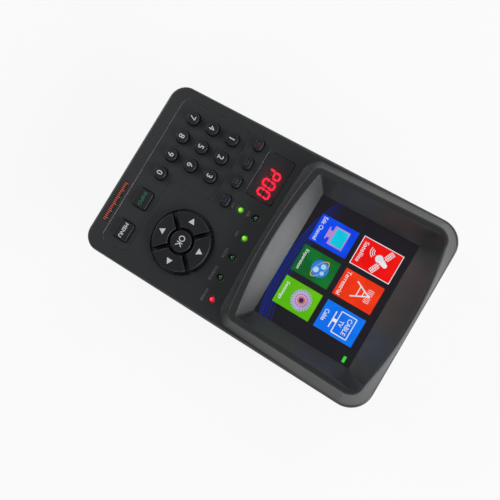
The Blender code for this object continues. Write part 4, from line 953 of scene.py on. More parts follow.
    def finish(
        self, name: str, material: bpy.types.Material, body: str, slot: str, nodes: Sequence[str] = ()
    ) -> bpy.types.Object:
        """Turn this solid into a finished piece, tell the frame of it and report it.

        Args:
            name: The piece's name.
            material: Its finish.
            body: The body that it rides on.
            slot: The record's material slot; not used.
            nodes: The nodes that it stands for.

        Returns:
            The piece.
        """
        bmesh.ops.remove_doubles(self.bm, verts=self.bm.verts, dist=0.0000002)
        bmesh.ops.recalc_face_normals(self.bm, faces=self.bm.faces)
        mesh = bpy.data.meshes.new(name)
        self.bm.to_mesh(mesh)
        self.bm.free()
        mesh.shade_smooth()
        mesh.set_sharp_from_angle(angle=SHARP_ANGLE)
        mesh.materials.append(material)
        piece = bpy.data.objects.new(name, mesh)
        bpy.context.scene.collection.objects.link(piece)
        even = piece.modifiers.new("even_shading", "WEIGHTED_NORMAL")
        even.mode = "FACE_AREA"
        even.keep_sharp = True
        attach(piece, body)
        if nodes:
            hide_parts(*nodes)
        log.info("%s on %s: %d faces", name, body, len(mesh.polygons))
        return piece


@dataclass(frozen=True)
class Legend:
    """A word, number or mark in a plain sans typeface.

    The height and width are those of the drawn letters, and a width of nothing keeps
    the letters' own proportion.
    """

    text: str
    centre: Place
    height: float
    width: float = 0.0
    weight: float = 0.012

    def solid(self, low: float, high: float) -> Solid:
        """Return the letters as a thin solid.

        Args:
            low: The height of their underside.
            high: The height of their face.

        Returns:
            The letters.
        """
        curve = bpy.data.curves.new("letters", "FONT")
        curve.body = self.text
        curve.offset = self.weight
        curve.extrude = 0.5
        curve.resolution_u = 4
        drawn = bpy.data.objects.new("letters", curve)
        bpy.context.scene.collection.objects.link(drawn)
        bpy.context.view_layer.update()
        found = drawn.evaluated_get(bpy.context.evaluated_depsgraph_get())
        mesh = bpy.data.meshes.new_from_object(found)
        made = Solid()
        made.bm.from_mesh(mesh)
        bpy.data.objects.remove(drawn)
        bpy.data.curves.remove(curve)
        bpy.data.meshes.remove(mesh)
        bmesh.ops.remove_doubles(made.bm, verts=made.bm.verts, dist=0.0001)
        spans = [[vert.co[axis] for vert in made.bm.verts] for axis in range(2)]
        lows = [min(span) for span in spans]
        sizes = [max(span) - min(span) for span in spans]
        tall = self.height / sizes[1]
        wide = self.width / sizes[0] if self.width else tall
        middle = Matrix.Translation((-lows[0] - sizes[0] / 2, -lows[1] - sizes[1] / 2, 0))
        scale = Matrix.Diagonal((wide, tall, high - low, 1))
        place = Matrix.Translation((*self.centre, (low + high) / 2))
        return made.moved(place @ scale @ middle)


def lettering(legends: Iterable[Legend], low: float, high: float) -> Solid:
    """Return several legends as one solid.

    Args:
        legends: The legends.
        low: The height of their underside.
        high: The height of their face.

    Returns:
        The solid.
    """
    made = Solid()
    for legend in legends:
        made.take(legend.solid(low, high))
    return made


class Slot(str, Enum):
    """The record's material slots."""

    CASE = "case"
    KEYS = "keys"
    SILICONE = "silicone"
    FLAT_CABLE = "flat_cable"
    SMOKED = "smoked"
    BLACK = "black_parts"
    GREEN_LENS = "green_lens"
    RED_LENS = "red_lens"
    GLASS = "screen_glass"
    STEEL = "steel"
    TINNED = "tinned_steel"
    NICKEL = "nickel"
    WRAP = "battery_wrap"
    RUBBER = "rubber_feet"


@dataclass(frozen=True)
class Case:
    """The sizes that the covers share, as the part has them."""

    half_width: float = 0.0525
    half_length: float = 0.0875
    near_corner: float = 0.0095
    far_corner: float = 0.0125
    wall: float = 0.0022
    back_z: float = 0.0015
    floor_z: float = 0.0037
    parting_z: float = 0.0170
    deck_z: float = 0.0270
    deck_under_z: float = 0.0248

    def outline(self, inset: float) -> Outline:
        """Return the case seen from above, drawn in by an inset.

        Args:
            inset: How far it is drawn in.

        Returns:
            The outline.
        """
        x = self.half_width - inset
        y = self.half_length - inset
        corners = [(-x, -y), (x, -y), (x, y), (-x, y)]
        near = self.near_corner - inset
        far = self.far_corner - inset
        return Outline.polygon(corners, [near, near, far, far], steps=16)


CASE = Case()

SCREW_PLACES = {
    "left_keypad": (-0.0440, -0.0795),
    "left_head": (-0.0448, 0.0790),
    "right_keypad": (0.0440, -0.0795),
    "right_head": (0.0448, 0.0790),
}
LIP_WALL = 0.0009
SCREW_POST = 0.0036
SCREW_BORE = 0.0018
HEAD_Z = 0.0088


@dataclass(frozen=True)
class HoodRing:
    """A ring round the screen, whose near and far sides bow outwards."""

    side: float
    near: float
    far: float
    near_bow: float
    far_bow: float
    near_corner: float
    far_corner: float
    bow_cuts: int = 25
    corner_steps: int = 12

    def points(self, height: Callable[[float], float]) -> list[Point]:
        """Return the ring's points.

        Args:
            height: The ring's height at each y.

        Returns:
            The points, counter-clockwise from the same place on every ring.
        """
        bm = bmesh.new()
        side, near, far = self.side, self.near, self.far
        verts = [bm.verts.new((x, y, 0)) for x, y in ((-side, near), (side, near), (side, far), (-side, far))]
        bm.faces.new(verts)
        radii = [self.near_corner, self.near_corner, self.far_corner, self.far_corner]
        for vert, radius in zip(verts, radii):
            bevel(bm, [vert], radius, self.corner_steps, "VERTICES")
        long_sides = [
            edge
            for edge in bm.edges
            if abs(edge.verts[0].co.y - edge.verts[1].co.y) < SKIN and edge.calc_length() > side
        ]
        bmesh.ops.bisect_edges(bm, edges=long_sides, cuts=self.bow_cuts)
        near_plan = (near, self.near_corner, -self.near_bow)
        for level, corner, bow in (near_plan, (far, self.far_corner, self.far_bow)):
            for vert in [vert for vert in bm.verts if abs(vert.co.y - level) < SKIN]:
                share = min(abs(vert.co.x) / (side - corner), 1.0)
                vert.co.y += bow * (1 - share * share)
        bm.faces.ensure_lookup_table()
        ring = [vert.co.copy() for vert in bm.faces[0].verts]
        bm.free()
        turn = sum(a.x * b.y - b.x * a.y for a, b in zip(ring, ring[1:] + ring[:1]))
        if turn < 0:
            ring.reverse()
        first = min(range(len(ring)), key=lambda i: (ring[i].x - side) ** 2 + (ring[i].y - near) ** 2)
        ring = ring[first:] + ring[:first]
        return [(p.x, p.y, height(p.y)) for p in ring]


def arc_steps(count: int) -> list[Place]:
    """Return the cosine and sine at each step of a quarter turn."""
    angles = [math.pi / 2 * step / count for step in range(count + 1)]
    return [(math.cos(angle), math.sin(angle)) for angle in angles]


@dataclass(frozen=True)
class Hood:
    """The sun hood round the screen: funnel, rim, sloping top, crest and outer walls."""

    screen_side: float = 0.03515
    screen_reach: float = 0.0278
    screen_y: float = 0.0434
    frame_z: float = 0.0243
    screen_corner: float = 0.0006
    near_rise: float = 0.0064
    far_rise: float = 0.0138
    rim_side: float = 0.0067
    rim_near: float = 0.0048
    rim_far: float = 0.0095
    crest_side: float = 0.0038
    crest_near: float = 0.0055
    crest_far: float = 0.0015
    foot_inset: float = 0.0004
    foot_near_y: float = -0.0030
    foot_corner: float = 0.0090
    rim_round: float = 0.0008
    rim_bows: Place = (0.0040, 0.0028)
    rim_corners: Place = (0.0015, 0.0060)
    crest_round: float = 0.0014
    crest_extra: float = 0.0009
    crest_bows: Place = (0.0028, 0.0036)
    crest_corners: Place = (0.0060, 0.0085)
    sweep: float = 0.012
    curl: float = 0.55
    sink: float = 0.0018
    steps: int = 5

    def plane(self, drop: float) -> Callable[[float], float]:
        """Return the height of the hood's top at each y, lowered by a drop.

        Args:
            drop: How far below the top.

        Returns:
            What gives the height at a y.
        """
        near = self.screen_y - self.screen_reach - self.rim_near - self.crest_near
        far = self.screen_y + self.screen_reach + self.rim_far + self.crest_far
        rise = self.far_rise - self.near_rise

        def height(y: float) -> float:
            """Return the height at a y."""
            return CASE.deck_z + self.near_rise + rise * (y - near) / (far - near) - drop

        return height

    def screen_ring(self, grown: float, z: float) -> list[Point]:
        """Return the ring round the visible screen, grown sideways.

        Args:
            grown: How far it is grown sideways.
            z: Its height.

        Returns:
            The ring.
        """
        reach = self.screen_reach + grown
        corner = self.screen_corner + grown
        ring = HoodRing(
            self.screen_side + grown, self.screen_y - reach, self.screen_y + reach, 0, 0, corner, corner
        )
        return ring.points(lambda y: z)

    def rim_ring(self, grown: float, drop: float) -> list[Point]:
        """Return the top ring of the inner wall, below the hood's top by a drop.

        Args:
            grown: How far it is grown sideways.
            drop: How far below the top.

        Returns:
            The ring.
        """
        ring = HoodRing(
            self.screen_side + self.rim_side + grown,
            self.screen_y - self.screen_reach - self.rim_near - grown,
            self.screen_y + self.screen_reach + self.rim_far + grown,
            *self.rim_bows,
            *(corner + grown for corner in self.rim_corners),
        )
        return ring.points(self.plane(drop))

    def crest_ring(self, inset: float, drop: float) -> list[Point]:
        """Return the outer ring of the hood's top, drawn in and lowered.

        Args:
            inset: How far it is drawn in.
            drop: How far below the top.

        Returns:
            The ring.
        """
        ring = HoodRing(
            self.screen_side + self.rim_side + self.crest_side - inset,
            self.screen_y - self.screen_reach - self.rim_near - self.crest_near + inset,
            self.screen_y + self.screen_reach + self.rim_far + self.crest_far - inset,
            *self.crest_bows,
            *(corner - inset for corner in self.crest_corners),
        )
        return ring.points(self.plane(drop))

    def foot_ring(self, inset: float, z: float) -> list[Point]:
        """Return the ring where the hood meets the deck and the case's edge.

        Args:
            inset: How far it is drawn in.
            z: Its height.

        Returns:
            The ring.
        """
        side = CASE.half_width - self.foot_inset - inset
        ring = HoodRing(
            side,
            self.foot_near_y + inset,
            CASE.half_length - self.foot_inset - inset,
            0,
            0,
            self.foot_corner - inset,
            CASE.far_corner - self.foot_inset - inset,
        )
        return ring.points(lambda y: z)

    def wall_rings(self, inset: float, foot_z: float, drop: float, curl: float) -> list[list[Point]]:
        """Return rings up the outer wall, which sweeps up from the deck on its near side.

        Args:
            inset: How far the rings are drawn in.
            foot_z: The height of the foot.
            drop: How far the last ring is below the hood's top.
            curl: How strongly the near side sweeps.

        Returns:
            The rings, from the foot to the crest.
        """
        foot = self.foot_ring(inset, foot_z)
        crest = self.crest_ring(inset, drop)
        rings = []
        count = 10
        for step in range(count + 1):
            share = step / count
            ring = []
            for low, high in zip(foot, crest):
                nearness = min(max((self.sweep - low[1]) / self.sweep, 0.0), 1.0)
                lift = share ** (1 + curl * nearness)
                flat = Vector(low[:2]).lerp(Vector(high[:2]), share)
                ring.append((flat.x, flat.y, low[2] + (high[2] - low[2]) * lift))
            rings.append(ring)
        return rings

    def outer(self) -> Solid:
        """Return the hood's outer body.

        Returns:
            The body.
        """
        rings = [self.foot_ring(0, CASE.deck_under_z)]
        rings += self.wall_rings(0, CASE.deck_z - self.sink, self.crest_round, self.curl)
        for across, up in arc_steps(self.steps)[1:]:
            inset = self.crest_round * (1 - across)
            rings.append(self.crest_ring(inset, self.crest_round * (1 - up)))
        return Solid().loft(rings)

    def inner(self) -> Solid:
        """Return the hollow inside the hood.

        Returns:
            The hollow.
        """
        rings = [self.foot_ring(CASE.wall, CASE.parting_z - OVERRUN)]
        rings += self.wall_rings(CASE.wall, CASE.deck_z - self.sink, CASE.wall + self.crest_extra, 0.0)
        return Solid().loft(rings)

    def funnel(self, grown: float, low: float) -> Solid:
        """Return the opening down to the screen, or the body of the wall round it.

        Args:
            grown: How far it is grown sideways.
            low: The height of its lower end.

        Returns:
            The body.
        """
        rings = [self.screen_ring(grown, low), self.screen_ring(grown, self.frame_z)]
        for across, up in arc_steps(self.steps):
            rings.append(self.rim_ring(grown + self.rim_round * (1 - across), self.rim_round * (1 - up)))
        rings.append(self.rim_ring(grown + self.rim_round, -OVERRUN))
        if low >= self.frame_z:
            rings = rings[1:]
        return Solid().loft(rings)


@dataclass(frozen=True)
class KeyPlan:
    """Where a key stands and what it looks like from above."""

    name: str
    centre: Place
    outline: Growing
    stand: float
    flange: float = 0.0008


ARROWS = {"key_right": 0.0, "key_up": math.pi / 2, "key_left": math.pi, "key_down": 1.5 * math.pi}


@dataclass(frozen=True)
class KeyLayout:
    """The places and outlines of all the keys, as the part has them."""

    digit_radius: float = 0.0036
    digit_x: float = -0.0374
    digit_y: float = -0.0674
    digit_pitch_x: float = 0.0117
    digit_pitch_y: float = 0.0129
    soft_x: float = -0.0414
    soft_y: float = -0.0269
    soft_pitch: float = 0.0115
    word_y: float = -0.0685
    info_x: float = 0.0148
    menu_x: float = 0.0349
    pad: Place = (0.0240, -0.0362)
    arrow_inner: float = 0.0075
    arrow_outer: float = 0.0164
    spoke: float = 0.0026
    ok_radius: float = 0.0060
    ok_flange: float = 0.0005
    soft_size: Point = (0.0033, 0.0022, 0.00205)
    word_size: Point = (0.00525, 0.0044, 0.0012)
    arrow_corner: float = 0.0008
    least_corner: float = 0.0004
    round_stand: float = 0.0020
    word_stand: float = 0.0009
    pad_stand: float = 0.0026

    def digit_place(self, number: int) -> Place:
        """Return the centre of a digit key.

        Args:
            number: The digit.

        Returns:
            The centre.
        """
        if number == 0:
            return (self.digit_x + 3 * self.digit_pitch_x, self.digit_y)
        across = (number - 1) % 3
        row = 2 - (number - 1) // 3
        return (self.digit_x + across * self.digit_pitch_x, self.digit_y + row * self.digit_pitch_y)

    def soft_place(self, index: int) -> Place:
        """Return the centre of a soft key."""
        return (self.soft_x + index * self.soft_pitch, self.soft_y)

    def round_key(self, radius: float, centre: Place) -> Growing:
        """Return what draws a round key, grown sideways."""
        return lambda grown: Outline.circle(radius + grown, centre)

    def oblong_key(self, half_x: float, half_y: float, corner: float, centre: Place) -> Growing:
        """Return what draws an oblong key, grown sideways."""
        return lambda grown: Outline.rectangle(half_x + grown, half_y + grown, corner + grown, centre)

    def arrow_key(self, turn: float) -> Growing:
        """Return what draws an arrow key, grown outwards and a little inwards.

        Args:
            turn: The direction that it points in, in radians.

        Returns:
            What draws the key.
        """

        def outline(grown: float) -> Outline:
            """Return the arrow key's outline."""
            return Outline.sector(
                self.arrow_inner - min(grown, FIT),
                self.arrow_outer + grown,
                self.spoke / 2 - grown,
                turn,
                self.pad,
                max(self.arrow_corner + grown, self.least_corner),
            )

        return outline

    def keys(self) -> list[KeyPlan]:
        """Return every key.

        Returns:
            The plans, in the order of the nodes.
        """
        plans = []
        for number in range(10):
            centre = self.digit_place(number)
            outline = self.round_key(self.digit_radius, centre)
            plans.append(KeyPlan(f"key_{number}", centre, outline, self.round_stand))
        for index in range(4):
            centre = self.soft_place(index)
            outline = self.oblong_key(*self.soft_size, centre)
            plans.append(KeyPlan(f"key_f{index + 1}", centre, outline, self.round_stand))
        for name, x in (("key_info", self.info_x), ("key_menu", self.menu_x)):
            outline = self.oblong_key(*self.word_size, (x, self.word_y))
            plans.append(KeyPlan(name, (x, self.word_y), outline, self.word_stand))
        for name, turn in ARROWS.items():
            plans.append(KeyPlan(name, self.pad, self.arrow_key(turn), self.pad_stand))
        outline = self.round_key(self.ok_radius, self.pad)
        plans.append(KeyPlan("key_ok", self.pad, outline, self.pad_stand, self.ok_flange))
        return plans


LAYOUT = KeyLayout()


@dataclass
class FrontCover:
    """The front cover: keypad deck and hood in one moulding."""

    finish: MouldedPlastic
    hood: Hood = field(default_factory=Hood)
    edge: float = 0.0018
    relief_depth: float = 0.0003
    relief_slope: float = 0.00030
    relief_corner: float = 0.0045
    pad_radius: float = 0.0180
    pad_depth: float = 0.0008
    rim: float = 0.00022
    lamp_hole: float = 0.0018
    lamp_sink: float = 0.0006
    lip_height: float = 0.0025
    panel_x: Point = (-0.0465, -0.0020, 0.0455)
    panel_y: Point = (-0.0785, -0.0600, -0.0338)

    def shell(self) -> Solid:
        """Return the outer shape of the cover.

        Returns:
            The outer shape.
        """
        rings = [CASE.outline(0).at(CASE.parting_z + FIT / 2)]
        for across, up in arc_steps(6):
            inset = self.edge * (1 - across)
            rings.append(CASE.outline(inset).at(CASE.deck_z - self.edge * (1 - up)))
        return Solid().loft(rings).join(self.hood.outer())

    def hollow(self) -> Solid:
        """Return the room inside the cover.

        Returns:
            The hollow.
        """
        room = Solid().slab(CASE.outline(CASE.wall), CASE.parting_z - OVERRUN, CASE.deck_under_z)
        room.join(self.hood.inner())
        seat = CASE.outline(CASE.wall - LIP_WALL - FIT)
        lip_top = CASE.parting_z + self.lip_height
        room.join(Solid().slab(seat, CASE.parting_z - 2 * OVERRUN, lip_top))
        room.cut(self.hood.funnel(CASE.wall, self.hood.frame_z))
        posts = Solid()
        for place in SCREW_PLACES.values():
            posts.slab(Outline.circle(SCREW_POST, place, 32), lip_top, CASE.deck_z + self.hood.far_rise)
        return room.cut(posts)

    def relief_outline(self, inset: float) -> Outline:
        """Return the shallow panel seen from above, drawn in by an inset.

        Args:
            inset: How far it is drawn in.

        Returns:
            The outline.
        """
        (left, step_x, right), (near, step_y, far) = self.panel_x, self.panel_y
        left, step_x, right = left + inset, step_x - inset, right - inset
        near, step_y, far = near + inset, step_y - inset, far - inset
        corners = [(left, near), (right, near), (right, step_y), (step_x, step_y), (step_x, far), (left, far)]
        radii = [self.relief_corner - inset] * 6
        radii[3] = self.relief_corner + inset
        return Outline.polygon(corners, radii)

    def relief(self) -> Solid:
        """Return the shallow panel round the digit, INFO and MENU keys.

        Returns:
            The panel.
        """
        low = CASE.deck_z - self.relief_depth
        floor = self.relief_outline(self.relief_slope)
        brim = self.relief_outline(0)
        return Solid().loft([floor.at(low), brim.at(CASE.deck_z), brim.at(CASE.deck_z + OVERRUN)])

    def recess(self) -> Solid:
        """Return the dish in which the arrow keys stand.

        Returns:
            The dish.
        """
        low = CASE.deck_z - self.pad_depth
        dish = Solid().slab(Outline.circle(self.pad_radius, LAYOUT.pad, 128), low, CASE.deck_z + OVERRUN)
        return dish.ease(low, self.pad_depth * 0.98, 3)

    def build(self) -> bpy.types.Object:
        """Build the cover and return it.

        Returns:
            The cover.
        """
        cover = self.shell().cut(self.hollow())
        cover.cut(self.hood.funnel(0, self.hood.frame_z - OVERRUN))
        cover.cut(self.relief()).cut(self.recess())
        low = CASE.deck_under_z - OVERRUN
        top = CASE.deck_z + OVERRUN
        holes = Solid()
        rims = Solid()
        for plan in LAYOUT.keys():
            level = CASE.deck_z
            if plan.name[4:].isdigit() or plan.name in ("key_info", "key_menu"):
                level -= self.relief_depth
            if plan.centre == LAYOUT.pad:
                level -= self.pad_depth
            holes.slab(plan.outline(FIT), low, top)
            if plan.centre != LAYOUT.pad:
                rim_z = level - self.rim
                rims.slab(plan.outline(FIT + self.rim), rim_z, top).ease(rim_z, self.rim, 1)
        window = DisplayWindow.outline(FIT)
        holes.slab(window, low, top)
        rim_z = CASE.deck_z - self.rim
        rims.slab(DisplayWindow.outline(FIT + self.rim), rim_z, top).ease(rim_z, self.rim, 1)
        for lamp in Lamps.PLANS:
            holes.slab(Outline.circle(self.lamp_hole, lamp.place, 32), low, top)
            rim_z = CASE.deck_z - self.lamp_sink
            rims.slab(Outline.circle(self.lamp_hole + self.lamp_sink, lamp.place, 32), rim_z, top)
            rims.ease(rim_z, self.lamp_sink * 0.98, 3)
        cover.cut(holes).cut(rims)
        bores = Solid()
        for place in SCREW_PLACES.values():
            bores.slab(Outline.circle(SCREW_BORE, place, 24), CASE.parting_z, CASE.deck_under_z)
        cover.cut(bores)
        return cover.finish("front_cover_moulding", self.finish.make(), "root", Slot.CASE, ["front_cover"])


@dataclass
class Keypad:
    """The digit, soft, INFO and MENU keys, the arrow keys and OK, with their legends."""

    plastic: KeyPlastic
    digits: Ink
    soft_inks: tuple[Ink, ...]
    info: Ink
    edge: float = 0.0007
    mark: float = 0.0021
    stand_of_ink: float = 0.00003
    flange_z: float = 0.0235
    flange_top_z: float = 0.0245

    def cap(self, plan: KeyPlan) -> Solid:
        """Return one key, its cap united with the flange under the deck.

        Args:
            plan: The key.

        Returns:
            The cap.
        """
        top = CASE.deck_z + plan.stand
        made = Solid().slab(plan.outline(0), self.flange_z, top)
        edge = min(self.edge, plan.stand * 0.6)
        made.ease(top, edge, 5)
        flange = Solid().slab(plan.outline(plan.flange), self.flange_z - SKIN, self.flange_top_z)
        return made.join(flange)

    def legends(self) -> dict[str, tuple[Legend, Ink]]:
        """Return the legend and ink of each key that has a word or number.

        Returns:
            The legend and ink by key.
        """
        found = {}
        for number in range(10):
            place = LAYOUT.digit_place(number)
            found[f"key_{number}"] = (Legend(str(number), place, 0.0035, weight=0.006), self.digits)
        for index, ink in enumerate(self.soft_inks):
            place = LAYOUT.soft_place(index)
            found[f"key_f{index + 1}"] = (Legend(f"F{index + 1}", place, 0.0019), ink)
        info = Legend("INFO", (LAYOUT.info_x, LAYOUT.word_y), 0.0021, 0.0078)
        menu = Legend("MENU", (LAYOUT.menu_x, LAYOUT.word_y), 0.0023, 0.0085, weight=0.020)
        found["key_info"] = (info, self.info)
        found["key_menu"] = (menu, self.digits)
        found["key_ok"] = (Legend("OK", LAYOUT.pad, 0.0036, 0.0064, weight=0.006), self.digits)
        return found

    def arrow(self, turn: float) -> Outline:
        """Return the white mark on an arrow key, which points outwards.

        Args:
            turn: The direction that it points in, in radians.

        Returns:
            The outline.
        """
        reach = (LAYOUT.arrow_inner + LAYOUT.arrow_outer) / 2
        centre = (LAYOUT.pad[0] + reach * math.cos(turn), LAYOUT.pad[1] + reach * math.sin(turn))
        return Outline.triangle(self.mark, turn, centre)

    def build(self) -> None:
        """Build every key and its legend."""
        plastic = self.plastic.make()
        legends = self.legends()
        inks = {}
        for plan in LAYOUT.keys():
            self.cap(plan).finish(f"{plan.name}_cap", plastic, plan.name, Slot.KEYS, [plan.name])
            top = CASE.deck_z + plan.stand
            low = top - SKIN
            high = top + self.stand_of_ink
            if plan.name in legends:
                legend, ink = legends[plan.name]
                mark = legend.solid(low, high)
            else:
                ink = self.digits
                mark = Solid().slab(self.arrow(ARROWS[plan.name]), low, high)
            if ink.name not in inks:
                inks[ink.name] = ink.make()
            mark.finish(f"{plan.name}_legend", inks[ink.name], plan.name, Slot.KEYS)


@dataclass
class KeyMat:
    """The silicone mat and its domes, one under each key."""

    silicone: Rubber
    low: float = 0.0202
    top: float = 0.0212
    dome_top: float = 0.0232
    edge: float = 0.0003
    web: float = 0.0005
    slope: float = 0.0005
    share: float = 0.72
    keep: float = 0.5
    half: Place = (0.0462, 0.0264)
    centre: Place = (0.0, -0.0486)
    hole: float = 0.0026
    posts: tuple[Place, ...] = ((-0.0030, -0.0540), (0.02485, -0.0700))

    def domes(self) -> dict[str, tuple[Place, float]]:
        """Return each key's dome centre and radius.

        Returns:
            The centre and radius by key.
        """
        reach = (LAYOUT.arrow_outer + LAYOUT.arrow_inner) / 2
        widths = {"key_ok": LAYOUT.ok_radius, "key_info": 0.00525, "key_menu": 0.00525}
        found = {}
        for plan in LAYOUT.keys():
            x, y = plan.centre
            half = widths.get(plan.name, 0.0033 if plan.name.startswith("key_f") else LAYOUT.digit_radius)
            if plan.name in ARROWS:
                turn = ARROWS[plan.name]
                x, y = x + reach * math.cos(turn), y + reach * math.sin(turn)
                half = (LAYOUT.arrow_outer - LAYOUT.arrow_inner) / 2
            found[plan.name] = ((x, y), half * self.share)
        return found

    def build(self) -> None:
        """Build the mat and its domes."""
        material = self.silicone.make()
        mat = Solid().slab(Outline.rectangle(*self.half, 0.0020, self.centre), self.low, self.top)
        mat.ease(self.top, 0.0002, 2)
        holes = Solid()
        for place in self.posts:
            holes.slab(Outline.circle(self.hole, place, 32), self.low - OVERRUN, self.top + OVERRUN)
        for place, radius in self.domes().values():
            room = radius + self.slope + SKIN
            holes.slab(Outline.circle(room, place, 32), self.low + self.web, self.top + OVERRUN)
        mat.cut(holes).finish("key_mat_sheet", material, "root", Slot.SILICONE, ["key_mat"])
        for name, (place, radius) in self.domes().items():
            base = self.low + self.web + SKIN
            wide = radius + self.slope
            profile = [(0, base), (wide, base), (wide, self.top), (wide - 0.0002, self.top + 0.0004)]
            profile += [(radius, self.dome_top - self.edge), (radius - self.edge, self.dome_top)]
            profile.append((0, self.dome_top))
            dome = Solid().lathe(profile, place, 32).finish(f"{name}_dome", material, "root", Slot.SILICONE)
            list(place)
            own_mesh(dome)


@dataclass
class DisplayWindow:
    """The red display: smoked window, black module and its lit segments."""

    glass: SatinWindow
    face: DigitGlow
    segments: Ink
    unlit: Ink
    window_z: float = 0.0239
    top_z: float = 0.0269
    flange_top_z: float = 0.0245
    module_z: float = 0.0202
    module_top_z: float = 0.0236
    digit_height: float = 0.0070
    digit_width: float = 0.0036
    stroke: float = 0.0011
    pitch: float = 0.0056
    lean: float = 0.12

    CENTRE = (-0.0289, -0.0122)
    SIZE = (0.0131, 0.00785, 0.0015)
    LIT = ("", "abefg", "abcdef", "abcdef")
    ENDS = {
        "a": "tl tr", "b": "tr mr", "c": "mr br", "d": "bl br", "e": "ml bl", "f": "tl ml", "g": "ml mr",
    }

    @classmethod
    def outline(cls, grown: float) -> Outline:
        """Return the window seen from above, grown sideways."""
        return Outline.rectangle(*(size + grown for size in cls.SIZE), cls.CENTRE)

    def bar(self, start: Place, end: Place) -> Outline:
        """Return the outline of one segment with pointed ends.

        Args:
            start: The middle of one end.
            end: The middle of the other.

        Returns:
            The outline.
        """
        run = Vector(end) - Vector(start)
        half = self.stroke / 2
        length = run.length - 0.00025
        corners = [
            (half, -half), (length - half, -half), (length, 0), (length - half, half), (half, half), (0, 0)
        ]
        bm = bmesh.new()
        bm.faces.new([bm.verts.new((x, y, 0)) for x, y in corners])
        place = Matrix.Translation((*start, 0)) @ Matrix.Rotation(math.atan2(run.y, run.x), 4, "Z")
        bmesh.ops.transform(bm, matrix=place @ Matrix.Translation((0.000125, 0, 0)), verts=bm.verts)
        return Outline.drawn(bm)

    def digit(self, index: int) -> dict[str, Outline]:
        """Return the seven segments of one digit by letter.

        Args:
            index: Its place in the row, from the left.

        Returns:
            The outlines by letter.
        """
        x = self.pitch * (index - 1.5)
        half_x, half_y = self.digit_width / 2, self.digit_height / 2
        nodes = {}
        for row, up in (("t", half_y), ("m", 0.0), ("b", -half_y)):
            for side, across in (("l", x - half_x), ("r", x + half_x)):
                nodes[row + side] = (across + up * self.lean + self.CENTRE[0], up + self.CENTRE[1])
        return {key: self.bar(*(nodes[name] for name in pair.split())) for key, pair in self.ENDS.items()}

    def build(self) -> None:
        """Build the window, the module and its segments."""
        window = Solid().slab(self.outline(0), self.window_z, self.top_z).ease(self.top_z, 0.00025, 3)
        window.join(Solid().slab(self.outline(0.0010), self.window_z - SKIN, self.flange_top_z))
        window.finish("smoked_window", self.glass.make(), "root", Slot.SMOKED, ["display_window"])
        module = Solid().slab(self.outline(-0.0004), self.module_z, self.module_top_z)
        module.ease(self.module_top_z, 0.0002, 2)
        module.finish("digit_module", self.face.make(), "root", Slot.BLACK, ["digit_display"])
        lit = Solid()
        dark = Solid()
        for index, letters in enumerate(self.LIT):
            for key, outline in self.digit(index).items():
                group = lit if key in letters else dark
                group.slab(outline, self.module_top_z - SKIN, self.module_top_z + 0.00004)
        lit.finish("lit_segments", self.segments.make(), "root", Slot.RED_LENS)
        dark.finish("unlit_segments", self.unlit.make(), "root", Slot.RED_LENS)


class State(Enum):
    """What a lamp shows: the colours of its lens and of the lens's heart, and its glow, which for an unlit
    lamp is a faint painted glow.
    """

    # Unlit: a faint painted glow (0.05), brightest over the heart, stands in for light caught in the dark
    # lens.
    DARK = ((0.030, 0.075, 0.030), (0.06, 0.22, 0.08), 0.05)
    GREEN = ((0.07, 0.36, 0.012), (0.55, 0.95, 0.09), 0.936)
    RED = ((0.45, 0.004, 0.018), (1.0, 0.08, 0.14), 1.092)


@dataclass(frozen=True)
class LampPlan:
    """Where a lamp stands, what it shows and the legend beside it."""

    name: str
    legend: str
    place: Place
    state: State


@dataclass
class Lamps:
    """The six indicator lamps and their legends on the deck."""

    legend_ink: Ink
    radius: float = 0.0015
    flange: float = 0.0019
    flange_height: float = 0.0010
    board_z: float = 0.0202
    heart_depth: float = 0.0008
    legend_below: float = 0.0046
    legend_height: float = 0.0015

    PLANS = (
        LampPlan("lamp_tone", "22K", (-0.0066, -0.0080), State.DARK),
        LampPlan("lamp_low_volts", "13V", (-0.0066, -0.0178), State.GREEN),
        LampPlan("lamp_high_volts", "18V", (0.0054, -0.0080), State.GREEN),
        LampPlan("lamp_lock", "LOCK", (0.0174, -0.0080), State.DARK),
        LampPlan("lamp_charge", "CHARGE", (0.0294, -0.0080), State.DARK),
        LampPlan("lamp_power", "POWER", (0.0416, -0.0061), State.RED),
    )

    def lens(self, place: Place) -> Solid:
        """Return one lamp: flange, barrel and dome.

        Args:
            place: Its centre.

        Returns:
            The lamp.
        """
        step = self.board_z + self.flange_height
        profile = [(0, self.board_z), (self.flange, self.board_z), (self.flange, step), (self.radius, step)]
        middle = CASE.deck_z - self.radius
        profile += [(self.radius * across, middle + self.radius * up) for across, up in arc_steps(8)]
        return Solid().lathe(profile, place, 32)

    def build(self) -> None:
        """Build the lamps and their legends."""
        legends = []
        for plan in self.PLANS:
            colour, heart, glow = plan.state.value
            middle = (*plan.place, CASE.deck_z - self.heart_depth)
            lens = Lamp(f"{plan.name}_lens", colour, heart, middle, glow)
            slot = Slot.RED_LENS if plan.state is State.RED else Slot.GREEN_LENS
            self.lens(plan.place).finish(f"{plan.name}_dome", lens.make(), "root", slot, [plan.name])
            below = (plan.place[0], plan.place[1] - self.legend_below)
            legends.append(Legend(plan.legend, below, self.legend_height, weight=0.004))
        words = lettering(legends, CASE.deck_z - SKIN, CASE.deck_z + SKIN)
        words.finish("lamp_legends", self.legend_ink.make(), "root", Slot.CASE)


